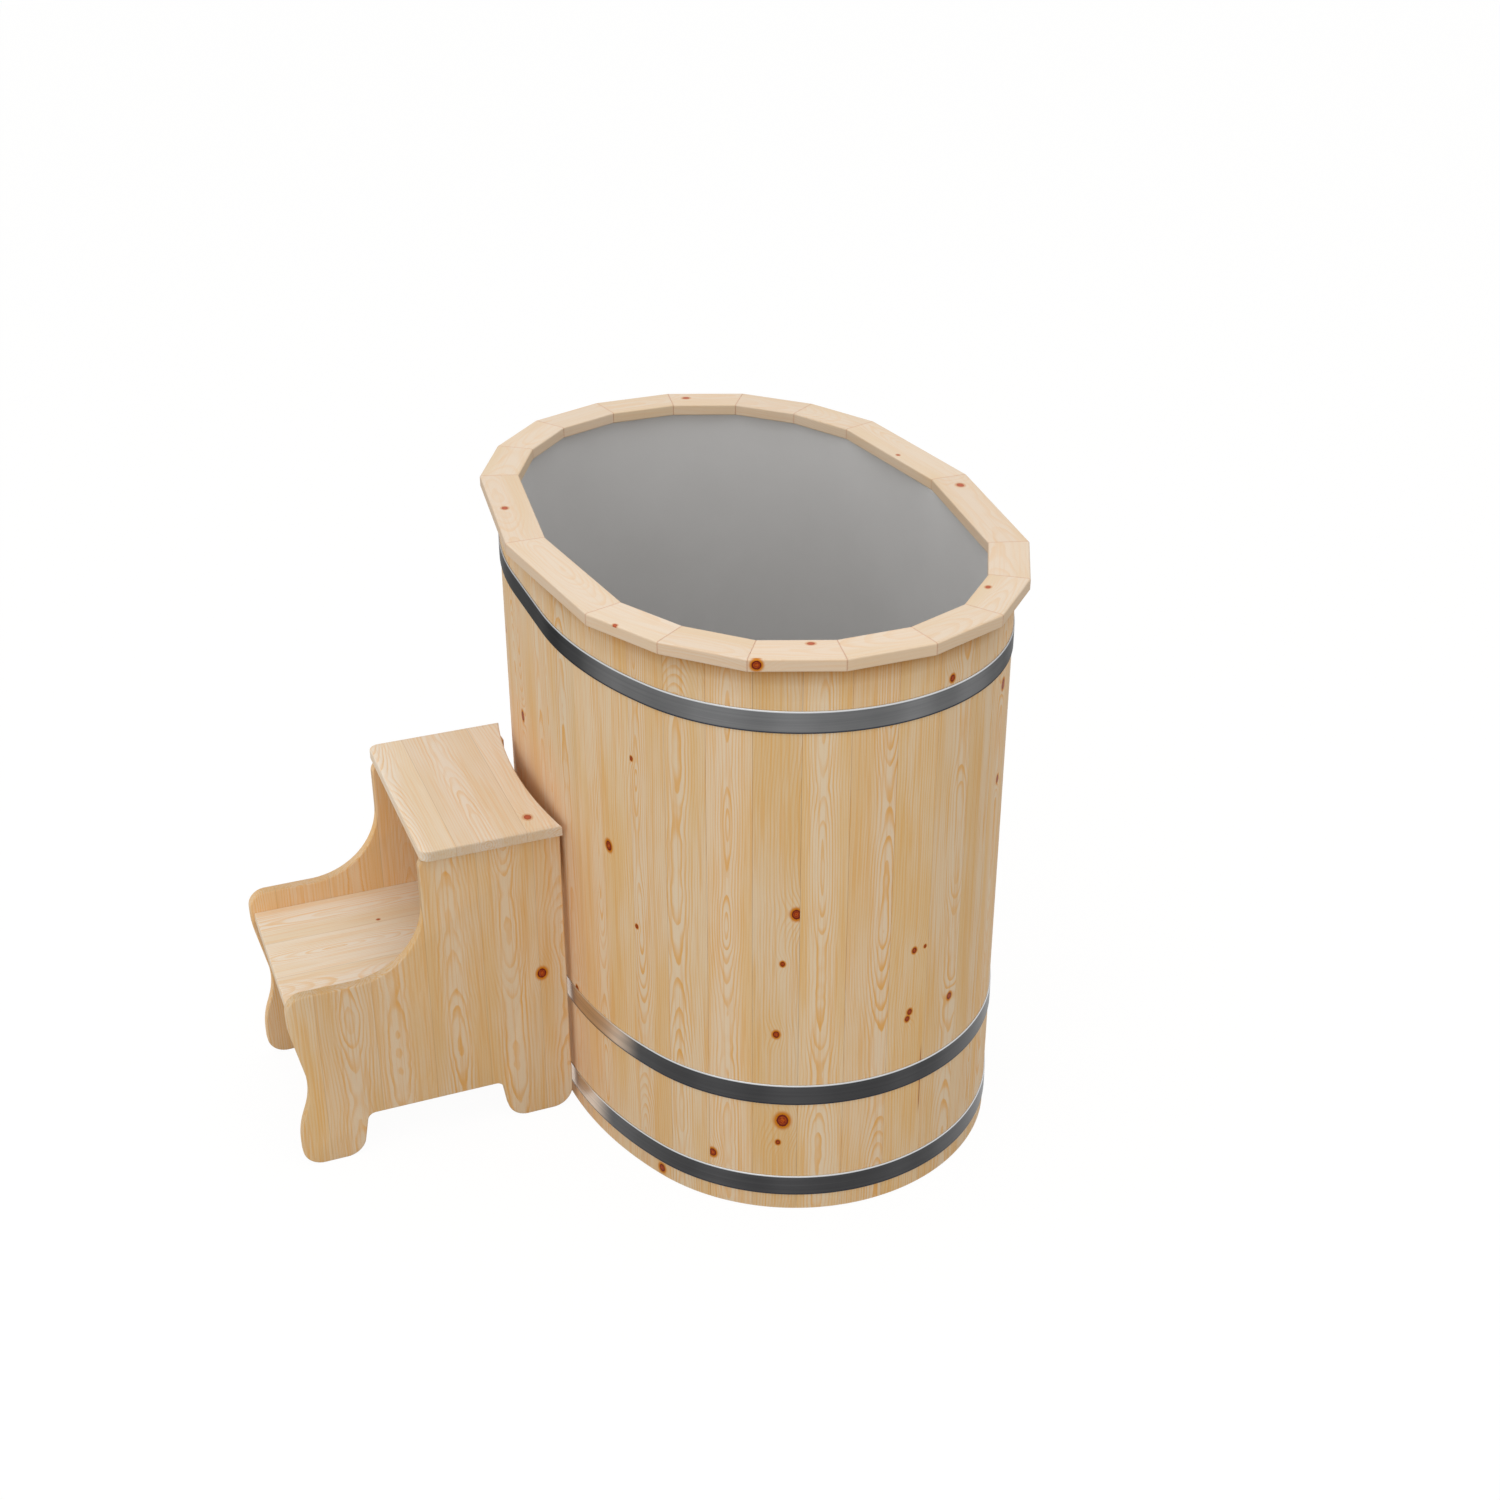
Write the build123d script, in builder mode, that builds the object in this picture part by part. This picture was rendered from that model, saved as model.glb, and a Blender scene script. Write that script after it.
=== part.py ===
import os
from math import atan2, cos, hypot, pi, sin, sqrt

from build123d import *

os.makedirs("parts", exist_ok=True)

# Sizes in millimetres, +Z up, ground at z = 0, +Y along the tub, the step stool on the -X side

# Tub outline
tub_height = 1000.0
body_half_length = 557.0
body_half_width = 369.0
end_rounding = 36.0
side_straight = 76.0

# Staves
stave_count = 42
stave_turn = 16.5
stave_thickness = 28.0
stave_gap = 0.2
stave_lift = 2.0
bead_radius = 4.6
cove_radius = 4.9

# Rim
rim_width = 64.0
rim_thickness = 20.0
rim_edge_radius = 3.0
rim_mitre_gap = 0.2
rim_inset_side = 33.5
rim_inset_end = 53.5
rim_corner_shares = [(0.1714, 1.0), (0.4873, 0.9196), (0.7288, 0.7567), (0.8957, 0.5422), (1.0, 0.0)]
biscuit_length = 50.0
biscuit_width = 20.0
biscuit_thickness = 4.0
biscuit_clearance = 0.2
dowel_diameter = 8.0
dowel_length = 28.0
dowel_clearance = 0.1

# Floor and bearers
bearer_height = 60.0
bearer_width = 45.0
bearer_spacing = 300.0
bearer_side_clearance = 3.0
floor_thickness = 22.0
floor_board_count = 7
floor_board_gap = 0.5
croze_depth = 8.0
croze_clearance = 0.25

# Liner
liner_wall = 4.0
liner_floor = 5.0
liner_flange = 4.0
liner_flange_inset = 14.0
liner_clearance = 0.5
liner_floor_radius = 16.0

# Hoops
hoop_thickness = 2.0
upper_hoop_height = 36.0
lower_hoop_height = 38.0
upper_hoop_drop = 105.5
middle_hoop_z = 232.5
lower_hoop_z = 50.5
hoop_opening = 24.0
lug_length = 26.0
lug_depth = 16.0
lug_height = 24.0
lug_corner = 4.0
lug_setback = 3.0
hoop_bolt_diameter = 8.0
hoop_bolt_clearance = 0.4
hoop_bolt_tail = 9.0
hoop_bolt_head = 5.3
hoop_nut_height = 6.5
hoop_hex = 13.0

# Drain
drain_z = 136.0
drain_pipe_diameter = 33.0
drain_hole_clearance = 0.5
drain_thread_clearance = 0.2
drain_bore = 20.0
drain_flange_diameter = 62.0
drain_flange_thickness = 5.0
gasket_diameter = 58.0
gasket_thickness = 3.5
strainer_bar = 3.0
washer_diameter = 52.0
washer_thickness = 2.5
drain_nut_hex = 46.0
drain_nut_height = 12.0
drain_pipe_reach = 29.0
valve_start = 16.0
valve_hex = 44.0
valve_hex_length = 14.0
valve_waist_diameter = 40.0
valve_length = 64.0
ball_diameter = 30.0
ball_clearance = 0.4
valve_centre = 33.0
stem_diameter = 10.0
stem_clearance = 0.3
stem_seat = 3.0
stem_boss_diameter = 22.0
stem_boss_height = 31.0
lever_gap = 0.5
lever_thickness = 3.0
lever_width = 18.0
lever_length = 96.0
grip_length = 58.0
grip_wall = 2.0
lever_nut_hex = 14.0
lever_nut_height = 5.0
stem_tail = 2.0
adapter_insert = 10.0
adapter_neck_diameter = 24.5
adapter_hex = 32.0
adapter_collar = 9.0
spigot_diameter = 26.4
spigot_length = 18.0

# Step stool
stool_clearance = 6.0
stool_centre_y = 35.0
stool_width = 350.0
board_thickness = 18.0
upper_tread_z = 568.0
upper_tread_depth = 231.0
upper_tread_length = 380.0
upper_tread_corner = 17.0
upper_tread_hollow = 20.0
lower_tread_z = 300.0
lower_tread_depth = 300.0
nose_reach = 460.0
tread_edge_radius = 3.0
cleat_size = 24.0
cleat_setback = 24.0
rail_height = 90.0
rail_setback = 6.0
screw_diameter = 4.0
screw_head_diameter = 8.0
screw_length = 34.0
screw_clearance = 0.15
panel_edge_radius = 3.0
arch_height = 78.0
step_top_z = 338.0
back_curve_radius = 122.0
back_curve_x = 233.0
panel_top_corner = 22.0
rear_foot_radius = 36.0
foot_radius = 34.0
arch_corner = 14.0
rear_foot_reach = 110.0
arch_start = 122.0
arch_end = 352.0
front_foot_start = 366.0
panel_reach = 466.0
ankle_height = 76.0
ankle_radius = 150.0
waist_reach = 440.0
waist_height = 150.0
waist_radius = 130.0
nose_height = 278.0
nose_radius = 150.0
nose_corner = 30.0

# Derived places
end_radius = body_half_width - end_rounding
rim_corners = [(x * (body_half_width - rim_inset_side), y * (body_half_length - rim_inset_end))
               for x, y in rim_corner_shares]
upper_hoop_z = tub_height - upper_hoop_drop
stool_rear_x = -body_half_width - stool_clearance
end_centre_y = body_half_length - end_radius
side_radius = (
    (body_half_width ** 2 + (end_centre_y - side_straight) ** 2 - end_radius ** 2)
    / (2 * (body_half_width - end_radius))
)
side_centre_x = body_half_width - side_radius
turn = atan2(end_centre_y - side_straight, side_radius - body_half_width)
stave_top = tub_height - rim_thickness
floor_z = bearer_height
floor_top = floor_z + floor_thickness
liner_inset = stave_thickness + liner_clearance
liner_bottom = floor_top + liner_clearance
inside_inset = liner_inset + liner_wall
inside_floor = liner_bottom + liner_floor


def outline_corners(inset):
    """Joint points of the straight side, the side arc and the end arc in the first quarter."""
    side = (body_half_width - inset, side_straight)
    meet = (
        side_centre_x + (side_radius - inset) * cos(turn),
        side_straight + (side_radius - inset) * sin(turn),
    )
    middle = (
        side_centre_x + (side_radius - inset) * cos(turn / 2),
        side_straight + (side_radius - inset) * sin(turn / 2),
    )
    tip = (0.0, body_half_length - inset)
    return side, middle, meet, tip


def oval(inset):
    """Sketch of the tub outline, moved inwards by inset."""
    side, middle, meet, tip = outline_corners(inset)
    with BuildSketch() as sketch:
        with BuildLine():
            Line((side[0], -side[1]), side)
            ThreePointArc(side, middle, meet)
            ThreePointArc(meet, tip, (-meet[0], meet[1]))
            ThreePointArc((-meet[0], meet[1]), (-middle[0], middle[1]), (-side[0], side[1]))
            Line((-side[0], side[1]), (-side[0], -side[1]))
            ThreePointArc((-side[0], -side[1]), (-middle[0], -middle[1]), (-meet[0], -meet[1]))
            ThreePointArc((-meet[0], -meet[1]), (0, -tip[1]), (meet[0], -meet[1]))
            ThreePointArc((meet[0], -meet[1]), (middle[0], -middle[1]), (side[0], -side[1]))
        make_face()
    return sketch.sketch


quarter_end = end_radius * (pi / 2 - turn)
quarter_side = side_radius * turn
quarter = quarter_end + quarter_side + side_straight
girth = 4 * quarter


def outline_point(distance):
    """Point and outward direction on the outline, measured clockwise from the far tip."""
    distance = distance % girth
    part, along = divmod(distance, quarter)
    if part in (1, 3):
        along = quarter - along
    if along < quarter_end:
        angle = pi / 2 - along / end_radius
        x = end_radius * cos(angle)
        y = end_centre_y + end_radius * sin(angle)
    elif along < quarter_end + quarter_side:
        angle = turn - (along - quarter_end) / side_radius
        x = side_centre_x + side_radius * cos(angle)
        y = side_straight + side_radius * sin(angle)
    else:
        angle = 0.0
        x = body_half_width
        y = side_straight - (along - quarter_end - quarter_side)
    sx = 1 if part in (0, 1) else -1
    sy = 1 if part in (0, 3) else -1
    return (sx * x, sy * y), (sx * cos(angle), sy * sin(angle))


def shifted(place, direction, out, along):
    """Place moved outwards, and clockwise along the outline."""
    return (
        place[0] + out * direction[0] + along * direction[1],
        place[1] + out * direction[1] - along * direction[0],
    )


stave_pitch = girth / stave_count
side_gap = stave_gap / 2
mid_depth = stave_thickness / 2
reach = 15.0
wall = oval(0) - oval(stave_thickness)


def stave_section(index):
    """Plan of one stave, with a bead on its first edge and a cove on its second."""
    first, first_out = outline_point(stave_turn + (index - 0.5) * stave_pitch)
    last, last_out = outline_point(stave_turn + (index + 0.5) * stave_pitch)
    start = [
        shifted(first, first_out, reach, side_gap),
        shifted(first, first_out, -mid_depth + bead_radius, side_gap),
        shifted(first, first_out, -mid_depth, side_gap - bead_radius),
        shifted(first, first_out, -mid_depth - bead_radius, side_gap),
        shifted(first, first_out, -stave_thickness - reach, side_gap),
    ]
    end = [
        shifted(last, last_out, -stave_thickness - reach, -side_gap),
        shifted(last, last_out, -mid_depth - cove_radius, -side_gap),
        shifted(last, last_out, -mid_depth, -side_gap - cove_radius),
        shifted(last, last_out, -mid_depth + cove_radius, -side_gap),
        shifted(last, last_out, reach, -side_gap),
    ]
    with BuildSketch() as sketch:
        with BuildLine():
            Line(start[0], start[1])
            ThreePointArc(start[1], start[2], start[3])
            Line(start[3], start[4])
            Line(start[4], end[0])
            Line(end[0], end[1])
            ThreePointArc(end[1], end[2], end[3])
            Line(end[3], end[4])
            Line(end[4], start[0])
        make_face()
        add(wall, mode=Mode.INTERSECT)
    return sketch.sketch


# Rim polygon
quarter_corners = rim_corners[:-1]
ring = (
    [(x, y) for x, y in quarter_corners]
    + [rim_corners[-1]]
    + [(x, -y) for x, y in reversed(quarter_corners)]
    + [(-x, -y) for x, y in quarter_corners]
    + [(-rim_corners[-1][0], 0.0)]
    + [(-x, y) for x, y in reversed(quarter_corners)]
)
rim_count = len(ring)


def rim_edge(index):
    """Middle, direction, outward normal and length of one inner edge of the rim."""
    a = ring[index - 1]
    b = ring[index % rim_count]
    length = hypot(b[0] - a[0], b[1] - a[1])
    t = ((b[0] - a[0]) / length, (b[1] - a[1]) / length)
    n = (-t[1], t[0])
    return ((a[0] + b[0]) / 2, (a[1] + b[1]) / 2), t, n, length


def mitre(index):
    """Inner corner of the rim and the direction of its mitre line, scaled per mm of width."""
    n1 = rim_edge(index)[2]
    n2 = rim_edge(index + 1)[2]
    s = 1 + n1[0] * n2[0] + n1[1] * n2[1]
    return ring[index % rim_count], ((n1[0] + n2[0]) / s, (n1[1] + n2[1]) / s)


def mitre_middle(index):
    """Middle of a mitre line and its turning angle in degrees."""
    corner, m = mitre(index)
    return (
        (corner[0] + m[0] * rim_width / 2, corner[1] + m[1] * rim_width / 2),
        atan2(m[1], m[0]) * 180 / pi,
    )


biscuit_z = tub_height - rim_thickness / 2


def dowel_place(index):
    """Centre of the stave nearest to the middle of a rim piece, in the outer half of its wall."""
    middle, _, n, _ = rim_edge(index)
    aim = (middle[0] + n[0] * rim_width, middle[1] + n[1] * rim_width)
    best = None
    for k in range(stave_count):
        place, out = outline_point(stave_turn + k * stave_pitch)
        away = hypot(place[0] - aim[0], place[1] - aim[1])
        if best is None or away < best[0]:
            best = (away, shifted(place, out, -liner_flange_inset / 2, 0))
    return best[1]


dowel_places = [dowel_place(index) for index in range(rim_count)]


def stave_group(numbers):
    """Staves with the groove for the floor, the seat for the liner, dowel holes and drain hole."""
    with BuildPart() as group:
        for number in numbers:
            with BuildSketch(Plane.XY.offset(stave_lift)):
                add(stave_section(number))
            extrude(amount=stave_top - stave_lift)
        with BuildSketch(Plane.XY.offset(floor_z - croze_clearance)):
            add(oval(stave_thickness - croze_depth - croze_clearance))
        extrude(amount=floor_thickness + 2 * croze_clearance, mode=Mode.SUBTRACT)
        with BuildSketch(Plane.XY.offset(stave_top - liner_flange)):
            add(oval(liner_flange_inset))
        extrude(amount=liner_flange, mode=Mode.SUBTRACT)
        with BuildSketch(Plane.XY.offset(stave_top - dowel_length / 2 - dowel_clearance)):
            with Locations(*dowel_places):
                Circle(dowel_diameter / 2 + dowel_clearance)
        extrude(amount=dowel_length, mode=Mode.SUBTRACT)
        with Locations(Location((0, body_half_length - stave_thickness / 2, drain_z), (90, 0, 0))):
            Cylinder(drain_pipe_diameter / 2 + drain_hole_clearance, 2 * stave_thickness,
                     mode=Mode.SUBTRACT)
    return group.part


# Far end staves
with BuildPart() as far_end_staves:
    add(stave_group(range(-6, 7)))
far_end_staves.part.label = "far_end_staves"
export_step(far_end_staves.part, "parts/far_end_staves.step")

# Right side staves
with BuildPart() as right_side_staves:
    add(stave_group(range(7, 15)))
right_side_staves.part.label = "right_side_staves"
export_step(right_side_staves.part, "parts/right_side_staves.step")

# Near end staves
with BuildPart() as near_end_staves:
    add(stave_group(range(15, 28)))
near_end_staves.part.label = "near_end_staves"
export_step(near_end_staves.part, "parts/near_end_staves.step")

# Left side staves
with BuildPart() as left_side_staves:
    add(stave_group(range(28, 36)))
left_side_staves.part.label = "left_side_staves"
export_step(left_side_staves.part, "parts/left_side_staves.step")

# Rim pieces, numbered clockwise from the far tip
for index in range(rim_count):
    middle, t, n, length = rim_edge(index)
    first, first_m = mitre(index - 1)
    last, last_m = mitre(index)
    g = rim_mitre_gap / 2
    before = [(first[0] + k * first_m[0] + g * t[0], first[1] + k * first_m[1] + g * t[1])
              for k in (-5.0, rim_width + 5.0)]
    after = [(last[0] + k * last_m[0] - g * t[0], last[1] + k * last_m[1] - g * t[1])
             for k in (rim_width + 5.0, -5.0)]
    centre = (middle[0] + n[0] * rim_width / 2, middle[1] + n[1] * rim_width / 2)
    with BuildPart() as rim_piece:
        with BuildSketch(Plane(origin=(centre[0], centre[1], biscuit_z),
                               x_dir=(n[0], n[1], 0), z_dir=(t[0], t[1], 0))):
            RectangleRounded(rim_width, rim_thickness, rim_edge_radius)
        extrude(amount=length / 2 + rim_width, both=True)
        with BuildSketch():
            Polygon(*before, *after, align=None)
        extrude(amount=tub_height + 10, mode=Mode.INTERSECT)
        for joint in (index - 1, index):
            place, angle = mitre_middle(joint)
            with BuildSketch(Plane.XY.offset(biscuit_z - biscuit_thickness / 2 - biscuit_clearance / 2)):
                with Locations(Location((place[0], place[1], 0), (0, 0, angle))):
                    SlotOverall(biscuit_length + 2 * biscuit_clearance,
                                biscuit_width + 2 * biscuit_clearance)
            extrude(amount=biscuit_thickness + biscuit_clearance, mode=Mode.SUBTRACT)
        with BuildSketch(Plane.XY.offset(stave_top)):
            with Locations(dowel_places[index]):
                Circle(dowel_diameter / 2 + dowel_clearance)
        extrude(amount=dowel_length / 2 + dowel_clearance, mode=Mode.SUBTRACT)
    rim_piece.part.label = "rim_piece_%02d" % (index + 1)
    export_step(rim_piece.part, "parts/rim_piece_%02d.step" % (index + 1))

# Rim biscuits
with BuildPart() as rim_biscuits:
    for index in range(rim_count):
        place, angle = mitre_middle(index)
        with BuildSketch(Plane.XY.offset(biscuit_z - biscuit_thickness / 2)):
            with Locations(Location((place[0], place[1], 0), (0, 0, angle))):
                SlotOverall(biscuit_length, biscuit_width)
        extrude(amount=biscuit_thickness)
rim_biscuits.part.label = "rim_biscuits"
export_step(rim_biscuits.part, "parts/rim_biscuits.step")

# Rim dowels
with BuildPart() as rim_dowels:
    with BuildSketch(Plane.XY.offset(stave_top - dowel_length / 2)):
        with Locations(*dowel_places):
            Circle(dowel_diameter / 2)
    extrude(amount=dowel_length)
rim_dowels.part.label = "rim_dowels"
export_step(rim_dowels.part, "parts/rim_dowels.step")

# Bearers
for name, place_y in (("near_bearer", -bearer_spacing), ("middle_bearer", 0.0),
                      ("far_bearer", bearer_spacing)):
    with BuildPart() as bearer:
        with BuildSketch():
            add(oval(stave_thickness + bearer_side_clearance))
            with Locations((0, place_y)):
                Rectangle(2 * body_half_width, bearer_width, mode=Mode.INTERSECT)
        extrude(amount=bearer_height)
    bearer.part.label = name
    export_step(bearer.part, "parts/" + name + ".step")

# Floor boards
floor_half_width = body_half_width - stave_thickness + croze_depth
board_pitch = 2 * floor_half_width / floor_board_count
with BuildPart() as floor_boards:
    for number in range(floor_board_count):
        with BuildSketch(Plane.XY.offset(floor_z)):
            add(oval(stave_thickness - croze_depth))
            with Locations(((number - (floor_board_count - 1) / 2) * board_pitch, 0)):
                Rectangle(board_pitch - floor_board_gap, 2 * body_half_length,
                          mode=Mode.INTERSECT)
        extrude(amount=floor_thickness)
floor_boards.part.label = "floor_boards"
export_step(floor_boards.part, "parts/floor_boards.step")

# Liner
with BuildPart() as liner:
    with BuildSketch(Plane.XY.offset(liner_bottom)):
        add(oval(liner_inset))
    extrude(amount=stave_top - liner_bottom)
    with BuildSketch(Plane.XY.offset(stave_top - liner_flange)):
        add(oval(liner_flange_inset + liner_clearance))
    extrude(amount=liner_flange)
    with BuildSketch(Plane.XY.offset(inside_floor)):
        add(oval(inside_inset))
    extrude(amount=stave_top - inside_floor, mode=Mode.SUBTRACT)
    fillet(liner.faces().filter_by(Axis.Z).sort_by(Axis.Z)[1].edges(), liner_floor_radius)
    with Locations(Location((0, body_half_length - liner_inset - liner_wall / 2, drain_z), (90, 0, 0))):
        Cylinder(drain_pipe_diameter / 2 + drain_hole_clearance, 4 * liner_wall, mode=Mode.SUBTRACT)
liner.part.label = "liner"
export_step(liner.part, "parts/liner.step")

# Hoops and their lugs
hoop_rows = (("upper_hoop", upper_hoop_z, upper_hoop_height),
             ("middle_hoop", middle_hoop_z, lower_hoop_height),
             ("lower_hoop", lower_hoop_z, lower_hoop_height))
lug_face_x = body_half_width + hoop_thickness
bolt_x = lug_face_x + lug_depth / 2
lug_start = hoop_opening / 2 + lug_setback
lug_end = lug_start + lug_length
for name, place_z, height in hoop_rows:
    with BuildPart() as hoop:
        with BuildSketch(Plane.XY.offset(place_z - height / 2)):
            add(oval(-hoop_thickness))
            add(oval(0), mode=Mode.SUBTRACT)
            with Locations((body_half_width, 0)):
                Rectangle(4 * hoop_thickness, hoop_opening, mode=Mode.SUBTRACT)
        extrude(amount=height)
    hoop.part.label = name
    export_step(hoop.part, "parts/" + name + ".step")
    with BuildPart() as lugs:
        for side in (-1, 1):
            with Locations(Location((bolt_x, side * (lug_start + lug_length / 2), place_z),
                                    (90, 0, 0))):
                Box(lug_depth, lug_height, lug_length)
        fillet(lugs.edges().filter_by(Axis.Y).group_by(Axis.X)[-1], lug_corner)
        with Locations(Location((bolt_x, 0, place_z), (90, 0, 0))):
            Cylinder(hoop_bolt_diameter / 2 + hoop_bolt_clearance, 4 * lug_length,
                     mode=Mode.SUBTRACT)
    lugs.part.label = name + "_lugs"
    export_step(lugs.part, "parts/" + name + "_lugs.step")

# Hoop bolts
with BuildPart() as hoop_bolts:
    for name, place_z, height in hoop_rows:
        with BuildSketch(Plane(origin=(bolt_x, -lug_end, place_z), x_dir=(1, 0, 0),
                               z_dir=(0, 1, 0))):
            Circle(hoop_bolt_diameter / 2)
        extrude(amount=2 * lug_end + hoop_nut_height + hoop_bolt_tail)
        with BuildSketch(Plane(origin=(bolt_x, -lug_end, place_z), x_dir=(1, 0, 0),
                               z_dir=(0, -1, 0))):
            RegularPolygon(hoop_hex / 2, 6, major_radius=False)
        extrude(amount=hoop_bolt_head)
hoop_bolts.part.label = "hoop_bolts"
export_step(hoop_bolts.part, "parts/hoop_bolts.step")

# Hoop nuts
with BuildPart() as hoop_nuts:
    for name, place_z, height in hoop_rows:
        with BuildSketch(Plane(origin=(bolt_x, lug_end, place_z), x_dir=(1, 0, 0),
                               z_dir=(0, 1, 0))):
            RegularPolygon(hoop_hex / 2, 6, major_radius=False)
            Circle(hoop_bolt_diameter / 2, mode=Mode.SUBTRACT)
        extrude(amount=hoop_nut_height)
hoop_nuts.part.label = "hoop_nuts"
export_step(hoop_nuts.part, "parts/hoop_nuts.step")

# Drain places along the far tip
wall_outside = body_half_length
liner_face = body_half_length - inside_inset
gasket_face = liner_face - gasket_thickness
nut_face = wall_outside + washer_thickness
valve_face = wall_outside + valve_start
valve_middle = valve_face + valve_centre
valve_end = valve_face + valve_length


def drain_plane(y):
    """Plane across the drain, looking outwards."""
    return Plane(origin=(0, y, drain_z), x_dir=(1, 0, 0), z_dir=(0, 1, 0))


# Drain gasket
with BuildPart() as drain_gasket:
    with BuildSketch(drain_plane(gasket_face)):
        Circle(gasket_diameter / 2)
        Circle(drain_pipe_diameter / 2 + drain_hole_clearance, mode=Mode.SUBTRACT)
    extrude(amount=gasket_thickness + 1)
    with BuildSketch(Plane.XY.offset(inside_floor)):
        add(oval(inside_inset))
    extrude(amount=2 * drain_z, mode=Mode.INTERSECT)
drain_gasket.part.label = "drain_gasket"
export_step(drain_gasket.part, "parts/drain_gasket.step")

# Drain strainer with its threaded pipe
with BuildPart() as drain_strainer:
    with BuildSketch(drain_plane(gasket_face)):
        Circle(drain_flange_diameter / 2)
    extrude(amount=-drain_flange_thickness)
    fillet(drain_strainer.edges().group_by(Axis.Y)[0], 2.0)
    with BuildSketch(drain_plane(gasket_face)):
        Circle(drain_pipe_diameter / 2)
    extrude(amount=wall_outside + drain_pipe_reach - gasket_face)
    with BuildSketch(drain_plane(gasket_face - drain_flange_thickness)):
        Circle(drain_bore / 2 + 2)
    extrude(amount=wall_outside + drain_pipe_reach + 10 - gasket_face, mode=Mode.SUBTRACT)
    with BuildSketch(drain_plane(gasket_face - drain_flange_thickness + 1)):
        Rectangle(drain_bore + 6, strainer_bar)
        Rectangle(strainer_bar, drain_bore + 6)
    extrude(amount=strainer_bar)
drain_strainer.part.label = "drain_strainer"
export_step(drain_strainer.part, "parts/drain_strainer.step")

# Drain washer
with BuildPart() as drain_washer:
    with BuildSketch(drain_plane(wall_outside)):
        Circle(washer_diameter / 2)
        Circle(drain_pipe_diameter / 2 + drain_hole_clearance, mode=Mode.SUBTRACT)
    extrude(amount=washer_thickness)
drain_washer.part.label = "drain_washer"
export_step(drain_washer.part, "parts/drain_washer.step")

# Drain nut
with BuildPart() as drain_nut:
    with BuildSketch(drain_plane(nut_face)):
        RegularPolygon(drain_nut_hex / 2, 6, major_radius=False)
        Circle(drain_pipe_diameter / 2 + drain_thread_clearance, mode=Mode.SUBTRACT)
    extrude(amount=drain_nut_height)
    chamfer(drain_nut.edges().filter_by(GeomType.LINE).group_by(Axis.Y)[-1], 1.5)
drain_nut.part.label = "drain_nut"
export_step(drain_nut.part, "parts/drain_nut.step")

# Valve body
with BuildPart() as valve_body:
    with BuildSketch(drain_plane(valve_face)):
        RegularPolygon(valve_hex / 2, 6, major_radius=False)
    extrude(amount=valve_hex_length)
    with BuildSketch(drain_plane(valve_end)):
        RegularPolygon(valve_hex / 2, 6, major_radius=False)
    extrude(amount=-valve_hex_length)
    with BuildSketch(drain_plane(valve_face)):
        Circle(valve_waist_diameter / 2)
    extrude(amount=valve_length)
    with BuildSketch(Plane(origin=(0, valve_middle, drain_z))):
        Circle(stem_boss_diameter / 2)
    extrude(amount=stem_boss_height)
    with BuildSketch(drain_plane(valve_face)):
        Circle(drain_pipe_diameter / 2 + drain_thread_clearance)
    extrude(amount=drain_pipe_reach - valve_start + drain_thread_clearance, mode=Mode.SUBTRACT)
    with BuildSketch(drain_plane(valve_face)):
        Circle(drain_bore / 2)
    extrude(amount=valve_length, mode=Mode.SUBTRACT)
    with BuildSketch(drain_plane(valve_end)):
        Circle(adapter_neck_diameter / 2 + drain_thread_clearance)
    extrude(amount=-adapter_insert - drain_thread_clearance, mode=Mode.SUBTRACT)
    with Locations((0, valve_middle, drain_z)):
        Sphere(ball_diameter / 2 + ball_clearance, mode=Mode.SUBTRACT)
    with BuildSketch(Plane(origin=(0, valve_middle, drain_z))):
        Circle(stem_diameter / 2 + stem_clearance)
    extrude(amount=stem_boss_height, mode=Mode.SUBTRACT)
valve_body.part.label = "valve_body"
export_step(valve_body.part, "parts/valve_body.step")

# Valve ball, shown closed
stem_foot = drain_z + ball_diameter / 2 - stem_seat
with BuildPart() as valve_ball:
    with Locations((0, valve_middle, drain_z)):
        Sphere(ball_diameter / 2)
        Cylinder(drain_bore / 2, ball_diameter, rotation=(0, 90, 0), mode=Mode.SUBTRACT)
    with BuildSketch(Plane(origin=(0, valve_middle, stem_foot))):
        Circle(stem_diameter / 2)
    extrude(amount=ball_diameter, mode=Mode.SUBTRACT)
valve_ball.part.label = "valve_ball"
export_step(valve_ball.part, "parts/valve_ball.step")

# Valve stem
lever_z = drain_z + stem_boss_height + lever_gap
stem_top = lever_z + lever_thickness + lever_nut_height + stem_tail
with BuildPart() as valve_stem:
    with BuildSketch(Plane(origin=(0, valve_middle, stem_foot))):
        Circle(stem_diameter / 2)
    extrude(amount=stem_top - stem_foot)
valve_stem.part.label = "valve_stem"
export_step(valve_stem.part, "parts/valve_stem.step")

# Valve lever, shown closed and pointing to +X
with BuildPart() as valve_lever:
    with BuildSketch(Plane(origin=(0, valve_middle, lever_z))):
        with Locations((lever_length / 2 - lever_width / 2, 0)):
            SlotOverall(lever_length, lever_width)
        Circle(stem_diameter / 2, mode=Mode.SUBTRACT)
    extrude(amount=lever_thickness)
valve_lever.part.label = "valve_lever"
export_step(valve_lever.part, "parts/valve_lever.step")

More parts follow.
